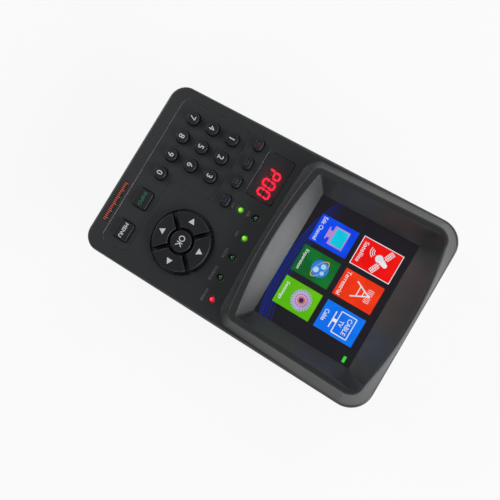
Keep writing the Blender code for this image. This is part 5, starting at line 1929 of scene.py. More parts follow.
class Sketch:
    """A flat drawing on one layer of the picture, in millimetres from its middle."""

    PICTURE_Z = 0.02275
    LAYER = 0.00003

    def __init__(self, middle: Place = (0, 0), layer: int = 2) -> None:
        """Start an empty drawing.

        Args:
            middle: The place of its middle, in millimetres.
            layer: The layer of the picture that it lies in.
        """
        self.middle = middle
        self.solid = Solid()
        self.low = self.PICTURE_Z + self.LAYER * (layer - 0.5)
        self.high = self.low + self.LAYER

    def at(self, x: float, y: float) -> Place:
        """Return a place of the drawing in metres."""
        return ((self.middle[0] + x) / 1000, (self.middle[1] + y) / 1000)

    def box(self, left: float, near: float, right: float, far: float) -> "Sketch":
        """Add a rectangle."""
        self.solid.box((*self.at(left, near), self.low), (*self.at(right, far), self.high))
        return self

    def disc(self, radius: float, x: float = 0, y: float = 0) -> "Sketch":
        """Add a filled circle."""
        self.solid.slab(Outline.circle(radius / 1000, self.at(x, y), 40), self.low, self.high)
        return self

    def ring(self, outer: float, inner: float) -> "Sketch":
        """Add a ring round the middle.

        Args:
            outer: Its outer radius.
            inner: Its inner radius.

        Returns:
            This drawing.
        """
        inner, outer, low, high = inner / 1000, outer / 1000, self.low, self.high
        profile = [(inner, low), (outer, low), (outer, high), (inner, high), (inner, low)]
        self.solid.lathe(profile, self.at(0, 0), 40)
        return self

    def line(self, start: Place, end: Place, width: float) -> "Sketch":
        """Add a straight stroke.

        Args:
            start: Where it starts.
            end: Where it ends.
            width: Its width.

        Returns:
            This drawing.
        """
        run = (Vector(end) - Vector(start)) / 1000
        half = width / 2000
        stroke = Solid().box((0, -half, self.low), (run.length, half, self.high))
        turn = Matrix.Rotation(math.atan2(run.y, run.x), 4, "Z")
        self.solid.take(stroke.moved(Matrix.Translation((*self.at(*start), 0)) @ turn))
        return self

    def wave(self, radius: float, width: float, low: Place, high: Place, centre: Place) -> None:
        """Add the stretch of a ring that lies between two corners.

        Args:
            radius: The ring's outer radius.
            width: Its width.
            low: The first corner, from the ring's centre.
            high: The second corner.
            centre: The ring's centre.
        """
        stretch = Solid().box((low[0] / 1000, low[1] / 1000, 0), (high[0] / 1000, high[1] / 1000, 1))
        arc = Sketch().ring(radius, radius - width).solid.keep(stretch)
        self.solid.take(arc.moved(Matrix.Translation((*self.at(*centre), 0))))

    def words(self, text: str, x: float, y: float, height: float, width: float) -> None:
        """Add lettering.

        Args:
            text: The words.
            x: The place of their middle.
            y: The place of their middle.
            height: The height of the drawn letters.
            width: The width of the whole.
        """
        legend = Legend(text, self.at(x, y), height / 1000, width / 1000, weight=0.008)
        self.solid.take(legend.solid(self.low, self.high))


@dataclass(frozen=True)
class Tile:
    """One coloured tile of the screen's menu."""

    name: str
    column: int
    row: int
    colour: Colour
    shade: Colour
    caption: str


@dataclass
class Screen:
    """The lit screen: panel, menu tiles with pictograms, and the clear window above them."""

    glass: ClearGlass
    columns: tuple[Place, ...] = ((-26.7, -11.4), (-8.2, 6.9), (10.4, 25.8))
    rows: tuple[Place, ...] = ((20.9, 42.3), (45.5, 67.1))
    frame: float = 0.4
    lift: float = 2.4

    TILES = (
        Tile("tile_edit", 0, 0, (0.0, 0.055, 0.85), (0.0, 0.085, 0.95), "Edit Channel"),
        Tile("tile_expansion", 1, 0, (0.002, 0.12, 0.018), (0.004, 0.18, 0.025), "Expansion"),
        Tile("tile_settings", 2, 0, (0.10, 0.50, 0.0), (0.14, 0.58, 0.0), "Settings"),
        Tile("tile_satellite", 0, 1, (0.93, 0.0, 0.0), (1.0, 0.004, 0.002), "Satellite"),
        Tile("tile_aerial", 1, 1, (0.93, 0.030, 0.002), (1.0, 0.045, 0.004), "Terrestrial"),
        Tile("tile_cable", 2, 1, (0.0, 0.17, 0.92), (0.0, 0.22, 0.98), "Cable"),
    )

    def above(self, tile: Tile) -> Place:
        """Return the middle of a tile's pictogram, above its caption."""
        return sum(self.columns[tile.column]) / 2, sum(self.rows[tile.row]) / 2 + self.lift

    def show(self, name: str, colour: Colour, sketch: Sketch) -> None:
        """Finish a drawing in a colour."""
        light = Picture(name + "_light", colour, tuple(channel * 0.86 for channel in colour))
        sketch.solid.finish(name, light.make(), "root", Slot.GLASS)

    def television(self, middle: Place) -> None:
        """Draw the small television of the first tile.

        Args:
            middle: Its place.
        """
        frame = Sketch(middle).box(-5.2, -4.0, 5.2, 4.6).box(-2.0, -5.6, 2.0, -4.0).box(-3.4, -6.4, 3.4, -5.6)
        self.show("television_frame", (0.52, 0.30, 0.68), frame)
        self.show("television_glass", (0.0, 0.68, 0.90), Sketch(middle, 3).box(-4.4, -2.6, 4.4, 4.0))

    def globe(self, middle: Place) -> None:
        """Draw the globe of the second tile, with the ring round it.

        Args:
            middle: Its place.
        """
        self.show("globe", (0.02, 0.24, 0.85), Sketch(middle).disc(4.6))
        land = Sketch(middle, 3).disc(1.4, -1.8, 1.2).disc(1.1, 1.6, 2.0).disc(1.5, 1.2, -1.6)
        self.show("globe_land", (0.45, 0.78, 0.95), land)
        orbit = Sketch(layer=4).ring(5.8, 5.2)
        lean = Matrix.Rotation(math.radians(-28), 4, "Z") @ Matrix.Diagonal((1.0, 0.42, 1.0, 1.0))
        orbit.solid.moved(Matrix.Translation((*Sketch(middle).at(0, 0), 0)) @ lean)
        self.show("globe_orbit", (0.80, 0.42, 0.10), orbit)

    def gear(self, middle: Place) -> None:
        """Draw the toothed wheel of the third tile.

        Args:
            middle: Its place.
        """
        wheel = Sketch(middle).disc(4.4)
        for x, y in [(math.cos(math.pi / 12 * tooth), math.sin(math.pi / 12 * tooth)) for tooth in range(24)]:
            wheel.line((x * 4.0, y * 4.0), (x * 5.8, y * 5.6), 0.8)
        self.show("gear_wheel", (0.56, 0.42, 0.74), wheel)
        self.show("gear_spokes", (0.34, 0.22, 0.50), Sketch(middle, 3).ring(3.4, 2.9))
        self.show("gear_hub", (0.78, 0.22, 0.08), Sketch(middle, 4).disc(2.2))
        self.show("gear_bore", (0.03, 0.02, 0.16), Sketch(middle, 5).disc(1.3))

    def chosen(self, tile: Tile) -> Sketch:
        """Return the frame round the chosen tile.

        Args:
            tile: The tile.

        Returns:
            The drawing.
        """
        frame = self.frame
        (left, right), (near, far) = self.columns[tile.column], self.rows[tile.row]
        made = Sketch().box(left - frame, near - frame, right + frame, near)
        made.box(left - frame, far, right + frame, far + frame)
        return made.box(left - frame, near, left, far).box(right, near, right + frame, far)

    def satellite(self) -> Sketch:
        """Return the satellite: body, two striped wings and its waves.

        Returns:
            The drawing, upright at the origin.
        """
        made = Sketch().box(-1.4, -1.6, 1.4, 1.6).disc(1.2, 0, 2.2).disc(2.1, 0, -2.2)
        for side in (-1, 1):
            made.line((side * 1.4, 0), (side * 7.2, 0), 0.3)
            for across in (-1.2, 1.2):
                made.line((side * 2.6, across), (side * 7.2, across), 0.3)
            for reach in [side * (2.6 + 0.9 * bar) for bar in range(6)]:
                made.line((reach, -1.3), (reach, 1.3), 0.35)
        for radius in (1.8, 2.8, 3.8):
            made.wave(radius, 0.35, (0, -10), (10, 0), (-1.2, -5.2))
        return made

    def mast(self, middle: Place) -> Sketch:
        """Return the aerial mast with waves at its head.

        Args:
            middle: Its place.

        Returns:
            The drawing.
        """
        head, half, height = (0, 3.4), 4.2, 8.4
        made = Sketch(middle).disc(0.9, *head)
        for side in (-1, 1):
            made.line(head, (side * half, head[1] - height), 0.7)
            left, right = sorted((side * 0.6, side * 9))
            for radius in (1.8, 2.7, 3.6):
                made.wave(radius, 0.3, (left, -1.6), (right, 1.6), head)
        for share in (0.35, 0.68):
            level = head[1] - height * share
            made.line((-half * share, level), (half * share, level), 0.5)
        return made

    def set(self, middle: Place) -> Sketch:
        """Return the outlined television set with its words.

        Args:
            middle: Its place.

        Returns:
            The drawing.
        """
        half_x, half_y = 5.8, 4.2
        made = Sketch(middle).box(-0.9, -6.2, 0.9, -half_y).box(-4.5, -6.8, 4.5, -6.2)
        for side in (-1, 1):
            made.line((-half_x, side * half_y), (half_x, side * half_y), 0.5)
            made.line((side * half_x, -half_y), (side * half_x, half_y), 0.5)
        made.words("CABLE", 0, 1.6, 2.4, 8.8)
        made.words("TV", 0, -1.8, 2.2, 3.4)
        return made

    def marks(self) -> Sketch:
        """Return the captions, the chosen tile's frame and the white pictograms.

        Returns:
            The drawing.
        """
        made = Sketch()
        for tile in self.TILES:
            width = min(1.25 * len(tile.caption), 13.2)
            made.words(tile.caption, self.above(tile)[0], self.rows[tile.row][0] + 2.6, 2.3, width)
        satellite, aerial, cable = self.TILES[3:]
        x, y = self.above(satellite)
        lean = Matrix.Rotation(math.radians(-24), 4, "Z")
        probe = self.satellite().solid.moved(Matrix.Translation((*made.at(x, y + 0.6), 0)) @ lean)
        x, y = self.above(cable)
        for solid in (self.chosen(satellite).solid, probe, self.mast(self.above(aerial)).solid):
            made.solid.take(solid)
        made.solid.take(self.set((x, y + 0.2)).solid)
        return made

    def build(self) -> None:
        """Build the screen and its window."""
        bands = (0.0935, 0.0952, 0.0969, 0.0984, 0.0998)
        wallpaper = Wallpaper("menu_background", (0.008, 0.1153, 0.0), bands)
        picture = Solid().box((-0.0365, 0.0145, 0.02271), (0.0365, 0.0723, 0.02274))
        picture.finish("menu_picture", wallpaper.make(), "root", Slot.GLASS)
        for tile in self.TILES:
            (left, right), (near, far) = self.columns[tile.column], self.rows[tile.row]
            light = Picture(f"{tile.name}_light", tile.colour, tile.shade)
            patch = Sketch(layer=1).box(left, near, right, far)
            patch.solid.finish(tile.name, light.make(), "root", Slot.GLASS)
        edit, expansion, settings = self.TILES[:3]
        self.television(self.above(edit))
        self.globe(self.above(expansion))
        self.gear(self.above(settings))
        white = Picture("white_light", (0.90, 0.90, 0.92), (0.78, 0.78, 0.82))
        self.marks().solid.finish("menu_marks", white.make(), "root", Slot.GLASS)
        self.show("battery_mark", (0.05, 0.80, 0.05), Sketch().box(30.8, 66.5, 34.0, 68.0))
        pane = Outline.rectangle(0.03815, 0.0308, 0.0006, (0, 0.0434), 4)
        glass = Solid().slab(pane, 0.0230, 0.0240)
        glass.finish("screen_glass", self.glass.make(), "root", Slot.GLASS, ["screen_window"])


@dataclass
class Scale:
    """A black strip with plain graduation ticks, below the keypad."""

    strip: Ink
    ticks: Ink
    low: Place = (0.0110, -0.0836)
    high: Place = (0.0360, -0.0800)
    pitch: float = 0.0011
    tick: float = 0.00050
    long_tick: float = 0.0025
    short_tick: float = 0.0016
    thickness: float = 0.00004

    def build(self) -> None:
        """Build the strip and its ticks."""
        middle = ((self.low[0] + self.high[0]) / 2, (self.low[1] + self.high[1]) / 2)
        half = ((self.high[0] - self.low[0]) / 2, (self.high[1] - self.low[1]) / 2)
        top = CASE.deck_z + self.thickness
        strip = Solid().slab(Outline.rectangle(*half, 0.0004, middle), CASE.deck_z - SKIN, top)
        strip.finish("scale_strip", self.strip.make(), "root", Slot.CASE)
        ticks = Solid()
        count = int(half[0] * 2 / self.pitch) - 1
        for index in range(count + 1):
            x = middle[0] + (index - count / 2) * self.pitch
            reach = self.short_tick if index % 4 else self.long_tick
            near = self.low[1] + 0.0006
            ticks.box((x - self.tick / 2, near, top - SKIN), (x + self.tick / 2, near + reach, top + SKIN))
        ticks.finish("scale_ticks", self.ticks.make(), "root", Slot.CASE)


@dataclass
class BackCover:
    """The back cover: bays, posts, speaker grille, vents, screw seats and socket openings."""

    finish: MouldedPlastic
    bay_half: float = 0.0315
    bay_near: float = -0.0853
    bay_far: float = -0.0095
    bay_ceiling: float = 0.0152
    bay_wall: float = 0.0015
    end: float = 0.0885
    head_half: float = 0.0390
    head_wall: Place = (0.0740, 0.0755)
    head_ceiling: float = 0.0150
    lip_low: float = 0.0126
    lip_top: float = 0.0192
    door_half: float = 0.0303
    tongue_half: float = 0.0315
    tongue_top: float = 0.0053
    post: float = 0.0028
    post_top: float = 0.0137
    post_x: float = 0.0405
    post_y: Place = (0.0178, 0.0670)
    pin: float = 0.0009
    pin_top: float = 0.0162
    ring_outer: float = 0.0145
    ring_inner: float = 0.0133
    ring_height: float = 0.0030
    screw_head: float = 0.0030
    screw_floor: float = 0.0046
    foot_seat: float = 0.0048
    foot_depth: float = 0.0006
    speaker: Place = (-0.0200, 0.0215)
    grille_radius: float = 0.0105
    grille_pitch: float = 0.0028
    grille_half: float = 0.00065
    vents: Place = (0.0180, 0.0262)
    vent_half: Place = (0.0008, 0.0075)
    vent_pitch: float = 0.0036
    socket_hole: float = 0.00505
    switch_half: Place = (0.0042, 0.0017)
    lead_hole: float = 0.0035
    label: Place = (0.0, 0.0545)
    rim: float = 0.00025

    EDGE = 0.0040

    @classmethod
    def shape(cls) -> Solid:
        """Return the cover's outer shape, rounded towards the back.

        Returns:
            The shape.
        """
        rings = []
        for across, up in reversed(arc_steps(9)):
            rings.append(CASE.outline(cls.EDGE * (1 - across)).at(CASE.back_z + cls.EDGE * (1 - up)))
        rings.append(CASE.outline(0).at(CASE.parting_z - FIT / 2))
        return Solid().loft(rings)

    def kept(self) -> Solid:
        """Return what stands inside the cover: bay walls, posts and the speaker's ring.

        Returns:
            The inner forms.
        """
        low = CASE.floor_z - OVERRUN
        half = self.bay_half + self.bay_wall
        top = self.bay_ceiling + self.bay_wall
        made = Solid().box((-half, -self.end, low), (half, self.bay_far + self.bay_wall, top))
        half = self.head_half + self.bay_wall
        made.box((-half, self.head_wall[0], low), (half, self.end, self.head_ceiling + self.bay_wall))
        for place in SCREW_PLACES.values():
            made.slab(Outline.circle(SCREW_POST, place, 32), low, self.lip_top)
        profile = [(0, low), (self.post, low), (self.post, self.post_top), (self.pin, self.post_top)]
        profile += [(self.pin, self.pin_top), (0, self.pin_top)]
        for x in (-self.post_x, self.post_x):
            for y in self.post_y:
                made.lathe(profile, (x, y), 32)
        ring = Outline.circle(self.ring_outer, self.speaker, 64)
        return made.slab(ring, low, CASE.floor_z + self.ring_height)

    def grille(self) -> list[Growing]:
        """Return what draws each slot of the grille and each vent, grown sideways.

        Returns:
            What draws each slot.
        """
        found = []
        for index in range(7):
            off = (index - 3) * self.grille_pitch
            half = math.sqrt(self.grille_radius**2 - off**2)
            found.append(self.slot(half, self.grille_half, (self.speaker[0], self.speaker[1] + off)))
        for index in range(8):
            x = self.vents[0] + (index - 3.5) * self.vent_pitch
            found.append(self.slot(*self.vent_half, (x, self.vents[1])))
        return found

    def slot(self, half_x: float, half_y: float, centre: Place) -> Growing:
        """Return what draws a slot with round ends, grown sideways."""
        end = min(half_x, half_y) * 0.96
        return lambda grown: Outline.rectangle(half_x + grown, half_y + grown, end + grown, centre, 6)

    def holes(self) -> Solid:
        """Return every opening through the back's floor, with its chamfer outside.

        Returns:
            The openings.
        """
        outside = CASE.back_z - OVERRUN
        made = Solid()
        rims = Solid()
        rim_z = CASE.back_z + self.rim
        for draw in self.grille():
            made.slab(draw(0), outside, CASE.floor_z + OVERRUN)
            rims.slab(draw(self.rim), outside, rim_z)
        for place in SCREW_PLACES.values():
            made.slab(Outline.circle(self.screw_head, place, 48), outside, self.screw_floor)
            made.slab(Outline.circle(SCREW_BORE, place, 32), self.screw_floor - SKIN, self.lip_top + OVERRUN)
            rims.slab(Outline.circle(self.screw_head + self.rim, place, 48), outside, rim_z)
        for place in Feet.PLACES.values():
            made.slab(Outline.circle(self.foot_seat, place, 48), outside, CASE.back_z + self.foot_depth)
        rims.slab(Outline.rectangle(0.0270, 0.0125, 0.0015, self.label), outside, rim_z)
        return made.join(rims.ease(rim_z, self.rim * 0.96, 1))

    def sockets(self) -> Solid:
        """Return the openings for the sockets, the switch knob and the battery's leads.

        Returns:
            The openings.
        """
        made = Solid()
        for port in SidePorts.PLANS:
            half_x = port.width / 2 + FIT
            half_y = port.height / 2 + FIT
            opening = Outline.rectangle(half_x, half_y, 0.0003, steps=3)
            mouth = Outline.rectangle(half_x + self.rim, half_y + self.rim, 0.0003, steps=3)
            hole = Solid().slab(opening, -CASE.wall - OVERRUN, OVERRUN)
            hole.join(Solid().slab(mouth, -self.rim, OVERRUN).ease(-self.rim, self.rim * 0.96, 1))
            made.take(hole.moved(port.way(CASE.half_width)))
        low, high = self.head_wall[0] - OVERRUN, self.head_wall[1] + OVERRUN
        for x in AerialSockets.PLACES.values():
            hole = Solid().slab(Outline.circle(self.socket_hole, steps=48), low, high)
            made.take(hole.moved(headward(x, HEAD_Z)))
        slot = Solid().slab(Outline.rectangle(*self.switch_half, 0.0004, steps=3), low, high)
        made.take(slot.moved(headward(PowerSwitch.x, HEAD_Z)))
        outline = Outline.circle(self.lead_hole, steps=32)
        lead = Solid().slab(outline, self.bay_far - OVERRUN, self.bay_far + self.bay_wall + OVERRUN)
        return made.take(lead.moved(headward(0.0, BatteryPack.lead_z[0])))

    def build(self) -> None:
        """Build the cover."""
        cover = self.shape()
        cover.join(Solid().slab(CASE.outline(CASE.wall - LIP_WALL), self.lip_low, self.lip_top))
        room = Solid().slab(CASE.outline(CASE.wall), CASE.floor_z, self.lip_top + OVERRUN)
        cover.cut(room.cut(self.kept()))
        middle = (self.bay_near + self.bay_far) / 2
        bay = Outline.rectangle(self.bay_half, (self.bay_far - self.bay_near) / 2, 0.0008, (0, middle), 4)
        pockets = Solid().slab(bay, CASE.floor_z, self.bay_ceiling)
        middle = (self.head_wall[1] + self.end + 0.0010) / 2
        reach = middle - self.head_wall[1]
        head = Outline.rectangle(self.head_half, reach, 0.0008, (0, middle), 4)
        pockets.slab(head, CASE.back_z - OVERRUN, self.head_ceiling)
        ring_top = CASE.floor_z + self.ring_height + OVERRUN
        pockets.slab(Outline.circle(self.ring_inner, self.speaker, 64), CASE.floor_z, ring_top)
        half, top = self.door_half, CASE.floor_z + FIT
        cover.cut(Solid().box((-half, -self.end, CASE.back_z - OVERRUN), (half, self.bay_far, top)))
        half, far = self.tongue_half, self.bay_near + OVERRUN
        cover.cut(Solid().box((-half, -self.end, CASE.floor_z), (half, far, self.tongue_top)))
        cover.cut(pockets).cut(self.holes()).cut(self.sockets())
        cover.finish("back_cover_moulding", self.finish.make(), "root", Slot.CASE, ["back_cover"])


def headward(x: float, z: float) -> Matrix:
    """Return the transform that turns a body along +Z to +Y and places its axis."""
    return Matrix.Translation((x, 0, z)) @ Matrix.Rotation(-math.pi / 2, 4, "X")


@dataclass
class BatteryDoor:
    """The sliding battery door, with finger grooves and an arrow."""

    finish: MouldedPlastic
    half: Place = (0.0300, 0.03935)
    middle: float = -0.04915
    tongue_half: float = 0.0312
    tongue_low: float = 0.0040
    top: float = 0.0050
    grooves: int = 6
    groove_y: float = -0.0760
    pitch: float = 0.0024
    groove: Place = (0.0100, 0.0005)
    groove_depth: float = 0.0005
    arrow: float = 0.0034
    arrow_y: float = -0.0555
    arrow_depth: float = 0.0003

    def build(self) -> None:
        """Build the door."""
        low = CASE.back_z
        door = Solid().slab(Outline.rectangle(*self.half, 0.0005, (0, self.middle), 3), low, self.top)
        door.ease(low, 0.0003, 2)
        half, near, far = self.tongue_half, self.middle - self.half[1], self.middle + self.half[1]
        door.join(Solid().box((-half, near, self.tongue_low), (half, far, self.top)))
        door.keep(BackCover.shape())
        cuts = Solid()
        for index in range(self.grooves):
            centre = (0, self.groove_y + index * self.pitch)
            outline = Outline.rectangle(*self.groove, self.groove[1] * 0.9, centre, 5)
            cuts.slab(outline, low - OVERRUN, low + self.groove_depth)
        cuts.ease(low + self.groove_depth, self.groove_depth * 0.7, 3)
        arrow = Outline.triangle(self.arrow, -math.pi / 2, (0, self.arrow_y))
        cuts.slab(arrow, low - OVERRUN, low + self.arrow_depth)
        door.cut(cuts)
        door.finish("battery_door_moulding", self.finish.make(), "battery_door", Slot.CASE, ["battery_door"])


@dataclass
class Feet:
    """The four rubber feet, each with a shallow dish."""

    finish: Rubber
    radius: float = 0.0045
    edge: float = 0.0005
    top: float = 0.0018

    PLACES = {
        "foot_left_keypad": (-0.0410, -0.0640),
        "foot_left_head": (-0.0410, 0.0620),
        "foot_right_keypad": (0.0410, -0.0640),
        "foot_right_head": (0.0410, 0.0620),
    }

    def build(self) -> None:
        """Build the feet."""
        material = self.finish.make()
        profile = [(0, 0.0003), (0.0022, 0.0003), (0.0027, 0)]
        for across, up in reversed(arc_steps(5)):
            profile.append((self.radius - self.edge * (1 - across), self.edge * (1 - up)))
        profile += [(self.radius, self.top), (0, self.top)]
        for name, place in self.PLACES.items():
            Solid().lathe(profile, place, 64).finish(f"{name}_pad", material, "root", Slot.RUBBER, [name])


@dataclass
class Screws:
    """The four case screws, with round heads, cross drives and threads."""

    finish: Metal
    head_z: float = 0.0023
    head: float = 0.0027
    height: float = 0.0020
    shank: float = 0.0015
    core: float = 0.0012
    tip_z: float = 0.0242
    thread_z: float = 0.0075
    pitch: float = 0.0008
    blade: Place = (0.0016, 0.0003)
    drive: float = 0.0011

    def profile(self) -> list[Place]:
        """Return the radius and height of the screw's surface, from the head to the tip.

        Returns:
            The points.
        """
        edge = self.height * 0.45
        found = [(0, self.head_z)]
        for across, up in reversed(arc_steps(5)):
            found.append((self.head - edge * (1 - across), self.head_z + edge * (1 - up)))
        found += [(self.head, self.head_z + self.height), (self.shank, self.head_z + self.height)]
        z = self.thread_z
        while z + self.pitch < self.tip_z - self.pitch:
            found += [(self.shank, z), (self.core, z + self.pitch * 0.4)]
            z += self.pitch
        return [*found, (self.core, self.tip_z - self.pitch), (self.core * 0.4, self.tip_z), (0, self.tip_z)]

    def build(self) -> None:
        """Build the screws."""
        material = self.finish.make()
        for end, place in SCREW_PLACES.items():
            screw = Solid().lathe(self.profile(), steps=40)
            for turn in (math.pi / 4, -math.pi / 4):
                low = (-self.blade[0], -self.blade[1], self.head_z - OVERRUN)
                drive = Solid().box(low, (*self.blade, self.head_z + self.drive))
                screw.cut(drive.moved(Matrix.Rotation(turn, 4, "Z")))
            screw.moved(Matrix.Translation((*place, 0)))
            screw.finish(f"case_screw_{end}_body", material, "root", Slot.STEEL, [f"case_screw_{end}"])


@dataclass
class AerialSockets:
    """The three threaded aerial sockets, their hexagons and insulators."""

    metal: Metal
    insulator: KeyPlastic
    start: float = 0.0740
    radius: float = 0.00475
    reach: float = 0.0125
    bore: float = 0.0024
    bore_depth: float = 0.0035
    seat: float = 0.0018
    nut: float = 0.0022
    flats: float = 0.0110
    corner: float = 0.0064
    face: float = 0.0056
    slope: float = 0.0005
    thread: float = 0.00079
    groove: float = 0.00035
    lead_in: float = 0.0004
    mouth: float = 0.0003
    core_setback: float = 0.0009
    contact: float = 0.0006
    contact_depth: float = 0.0018

    PLACES = {"satellite_input": -0.0275, "loop_output": -0.0085, "aerial_input": 0.0130}

    def barrel(self) -> Solid:
        """Return the threaded barrel along +Z.

        Returns:
            The barrel.
        """
        profile = [(0, 0), (self.radius, 0)]
        z = self.seat + self.nut + self.thread * 0.5
        while z + self.thread < self.reach - self.thread * 0.5:
            profile += [(self.radius, z), (self.radius - self.groove, z + self.thread * 0.5)]
            z += self.thread
        profile += [(self.radius, z), (self.radius - self.lead_in, self.reach)]
        profile += [(self.bore + self.mouth, self.reach), (self.bore, self.reach - self.mouth)]
        floor = self.reach - self.bore_depth
        profile += [(self.bore, floor), (0, floor)]
        return Solid().lathe(profile, steps=72)

    def hexagon(self) -> Solid:
        """Return the hexagon with turned chamfers, along +Z.

        Returns:
            The hexagon.
        """
        low, high = self.seat, self.seat + self.nut
        made = Solid().slab(Outline.circle(self.flats / math.sqrt(3), steps=6), low, high)
        profile = [(0, low), (self.face, low), (self.corner, low + self.slope)]
        profile += [(self.corner, high - self.slope), (self.face, high), (0, high)]
        return made.keep(Solid().lathe(profile, steps=96))

    def core(self) -> Solid:
        """Return the insulator with its contact hole, along +Z.

        Returns:
            The insulator.
        """
        low = self.reach - self.bore_depth
        top = self.reach - self.core_setback
        hole, floor = self.contact, top - self.contact_depth
        profile = [(0, low), (self.bore - SKIN, low), (self.bore - SKIN, top), (hole + self.slope, top)]
        profile += [(hole, top - self.slope), (hole, floor), (0, floor)]
        return Solid().lathe(profile, steps=40)

    def build(self) -> None:
        """Build the sockets."""
        metal = self.metal.make()
        plastic = self.insulator.make()
        for name, x in self.PLACES.items():
            way = Matrix.Translation((0, self.start, 0)) @ headward(x, HEAD_Z)
            shell = self.barrel().join(self.hexagon()).moved(way)
            shell.finish(f"{name}_shell", metal, "root", Slot.NICKEL, [name])
            self.core().moved(way).finish(f"{name}_insulator", plastic, "root", Slot.FLAT_CABLE)


@dataclass(frozen=True)
class PortPlan:
    """Where a side socket sits and how big it is."""

    name: str
    side: int
    y: float
    width: float
    height: float
    depth: float
    cavity: float
    tongue: float = 0.0
    taper: float = 0.0004
    bore: float = 0.0
    contacts: int = 0

    TOP_Z = 0.0137

    def way(self, reach: float) -> Matrix:
        """Return the transform that turns +Z outwards and places the socket's mouth.

        Args:
            reach: How far from the middle of the case the mouth is.

        Returns:
            The transform.
        """
        side = self.side
        turn = Matrix(((0, 0, side, 0), (side, 0, 0, 0), (0, 1, 0, 0), (0, 0, 0, 1)))
        return Matrix.Translation((side * reach, self.y, self.TOP_Z - self.height / 2)) @ turn


@dataclass
class SidePorts:
    """The data port, picture port, power jack and audio jack in the case's sides."""

    metal: Metal
    plastic: KeyPlastic
    contact: Metal
    setback: float = 0.0006
    shell: float = 0.0004
    contact_setback: float = 0.0008
    pin: float = 0.00105
    ring: float = 0.0006
    ring_depth: float = 0.0030
    ring_edge: float = 0.0002

    PLANS = (
        PortPlan("data_port", -1, 0.0330, 0.0131, 0.0057, 0.0130, 0.0095, tongue=0.0018, contacts=4),
        PortPlan("picture_port", -1, 0.0550, 0.0150, 0.0056, 0.0110, 0.0080, 0.0010, 0.0016, contacts=10),
        PortPlan("power_jack", 1, 0.0350, 0.0090, 0.0092, 0.0120, 0.0090, bore=0.0032),
        PortPlan("audio_jack", 1, 0.0520, 0.0064, 0.0064, 0.0115, 0.0095, bore=0.0018),
    )

    def mouth(self, plan: PortPlan, inset: float) -> Outline:
        """Return a port's mouth with its two lower corners cut off, drawn in by an inset.

        Args:
            plan: The port.
            inset: How far it is drawn in.

        Returns:
            The outline.
        """
        x, y, cut = plan.width / 2 - inset, plan.height / 2 - inset, plan.taper
        corners = [(cut - x, -y), (x - cut, -y), (x, cut - y), (x, y), (-x, y), (-x, cut - y)]
        return Outline.polygon(corners, [0.00012] * 6, steps=3)

    def port(self, plan: PortPlan, way: Matrix) -> None:
        """Build a port: sheet shell, tongue and contacts.

        Args:
            plan: The port.
            way: Its place and direction.
        """
        made = Solid().slab(self.mouth(plan, 0), -plan.depth, 0)
        made.cut(Solid().slab(self.mouth(plan, self.shell), -plan.cavity, OVERRUN)).moved(way)
        made.finish(f"{plan.name}_shell", self.metal.make(), "root", Slot.NICKEL, [plan.name])
        half_x = plan.width / 2 - 2 * plan.taper
        half_y = plan.tongue / 2
        tongue = Solid().box((-half_x, -half_y, -plan.cavity), (half_x, half_y, -self.setback))
        tongue.ease(-self.setback, 0.00025, 2).moved(way)
        tongue.finish(f"{plan.name}_tongue", self.plastic.make(), "root", Slot.BLACK)
        strips = Solid()
        pitch = 2 * half_x / (plan.contacts + 1)
        for index in range(plan.contacts):
            x = (index - (plan.contacts - 1) / 2) * pitch
            for face in (-half_y, half_y):
                low = (x - pitch / 4, face - SKIN * 2, -plan.cavity)
                strips.box(low, (x + pitch / 4, face + SKIN * 2, -self.setback - self.contact_setback))
        strips.moved(way).finish(f"{plan.name}_contacts", self.contact.make(), "root", Slot.NICKEL)

    def jack(self, plan: PortPlan, way: Matrix) -> None:
        """Build a jack: plastic body with a bore, and its metal contact.

        Args:
            plan: The jack.
            way: Its place and direction.
        """
        outline = Outline.rectangle(plan.width / 2, plan.height / 2, 0.0004, steps=3)
        body = Solid().slab(outline, -plan.depth, 0).ease(0, 0.0002, 2)
        drill = Solid().slab(Outline.circle(plan.bore, steps=64), -plan.cavity, OVERRUN)
        body.cut(drill)
        if plan.name == "power_jack":
            profile = [(0, -plan.cavity), (self.pin, -plan.cavity)]
            tip = -self.setback
            profile += [(self.pin * across, tip - self.pin * (1 - up)) for across, up in arc_steps(6)]
        else:
            inner, outer, edge, low = plan.bore, plan.bore + self.ring, self.ring_edge, -self.ring_depth
            body.cut(Solid().slab(Outline.circle(outer + SKIN, steps=64), low, OVERRUN))
            profile = [(inner, low), (outer, low), (outer, -edge), (outer - edge, 0)]
            profile += [(inner + edge, 0), (inner, -edge), (inner, low)]
        body.moved(way).finish(f"{plan.name}_body", self.plastic.make(), "root", Slot.BLACK, [plan.name])
        contact = Solid().lathe(profile, steps=48).moved(way)
        contact.finish(f"{plan.name}_contact", self.metal.make(), "root", Slot.NICKEL)

    def build(self) -> None:
        """Build the four sockets."""
        for plan in self.PLANS:
            way = plan.way(CASE.half_width - self.setback)
            if plan.tongue:
                self.port(plan, way)
            else:
                self.jack(plan, way)


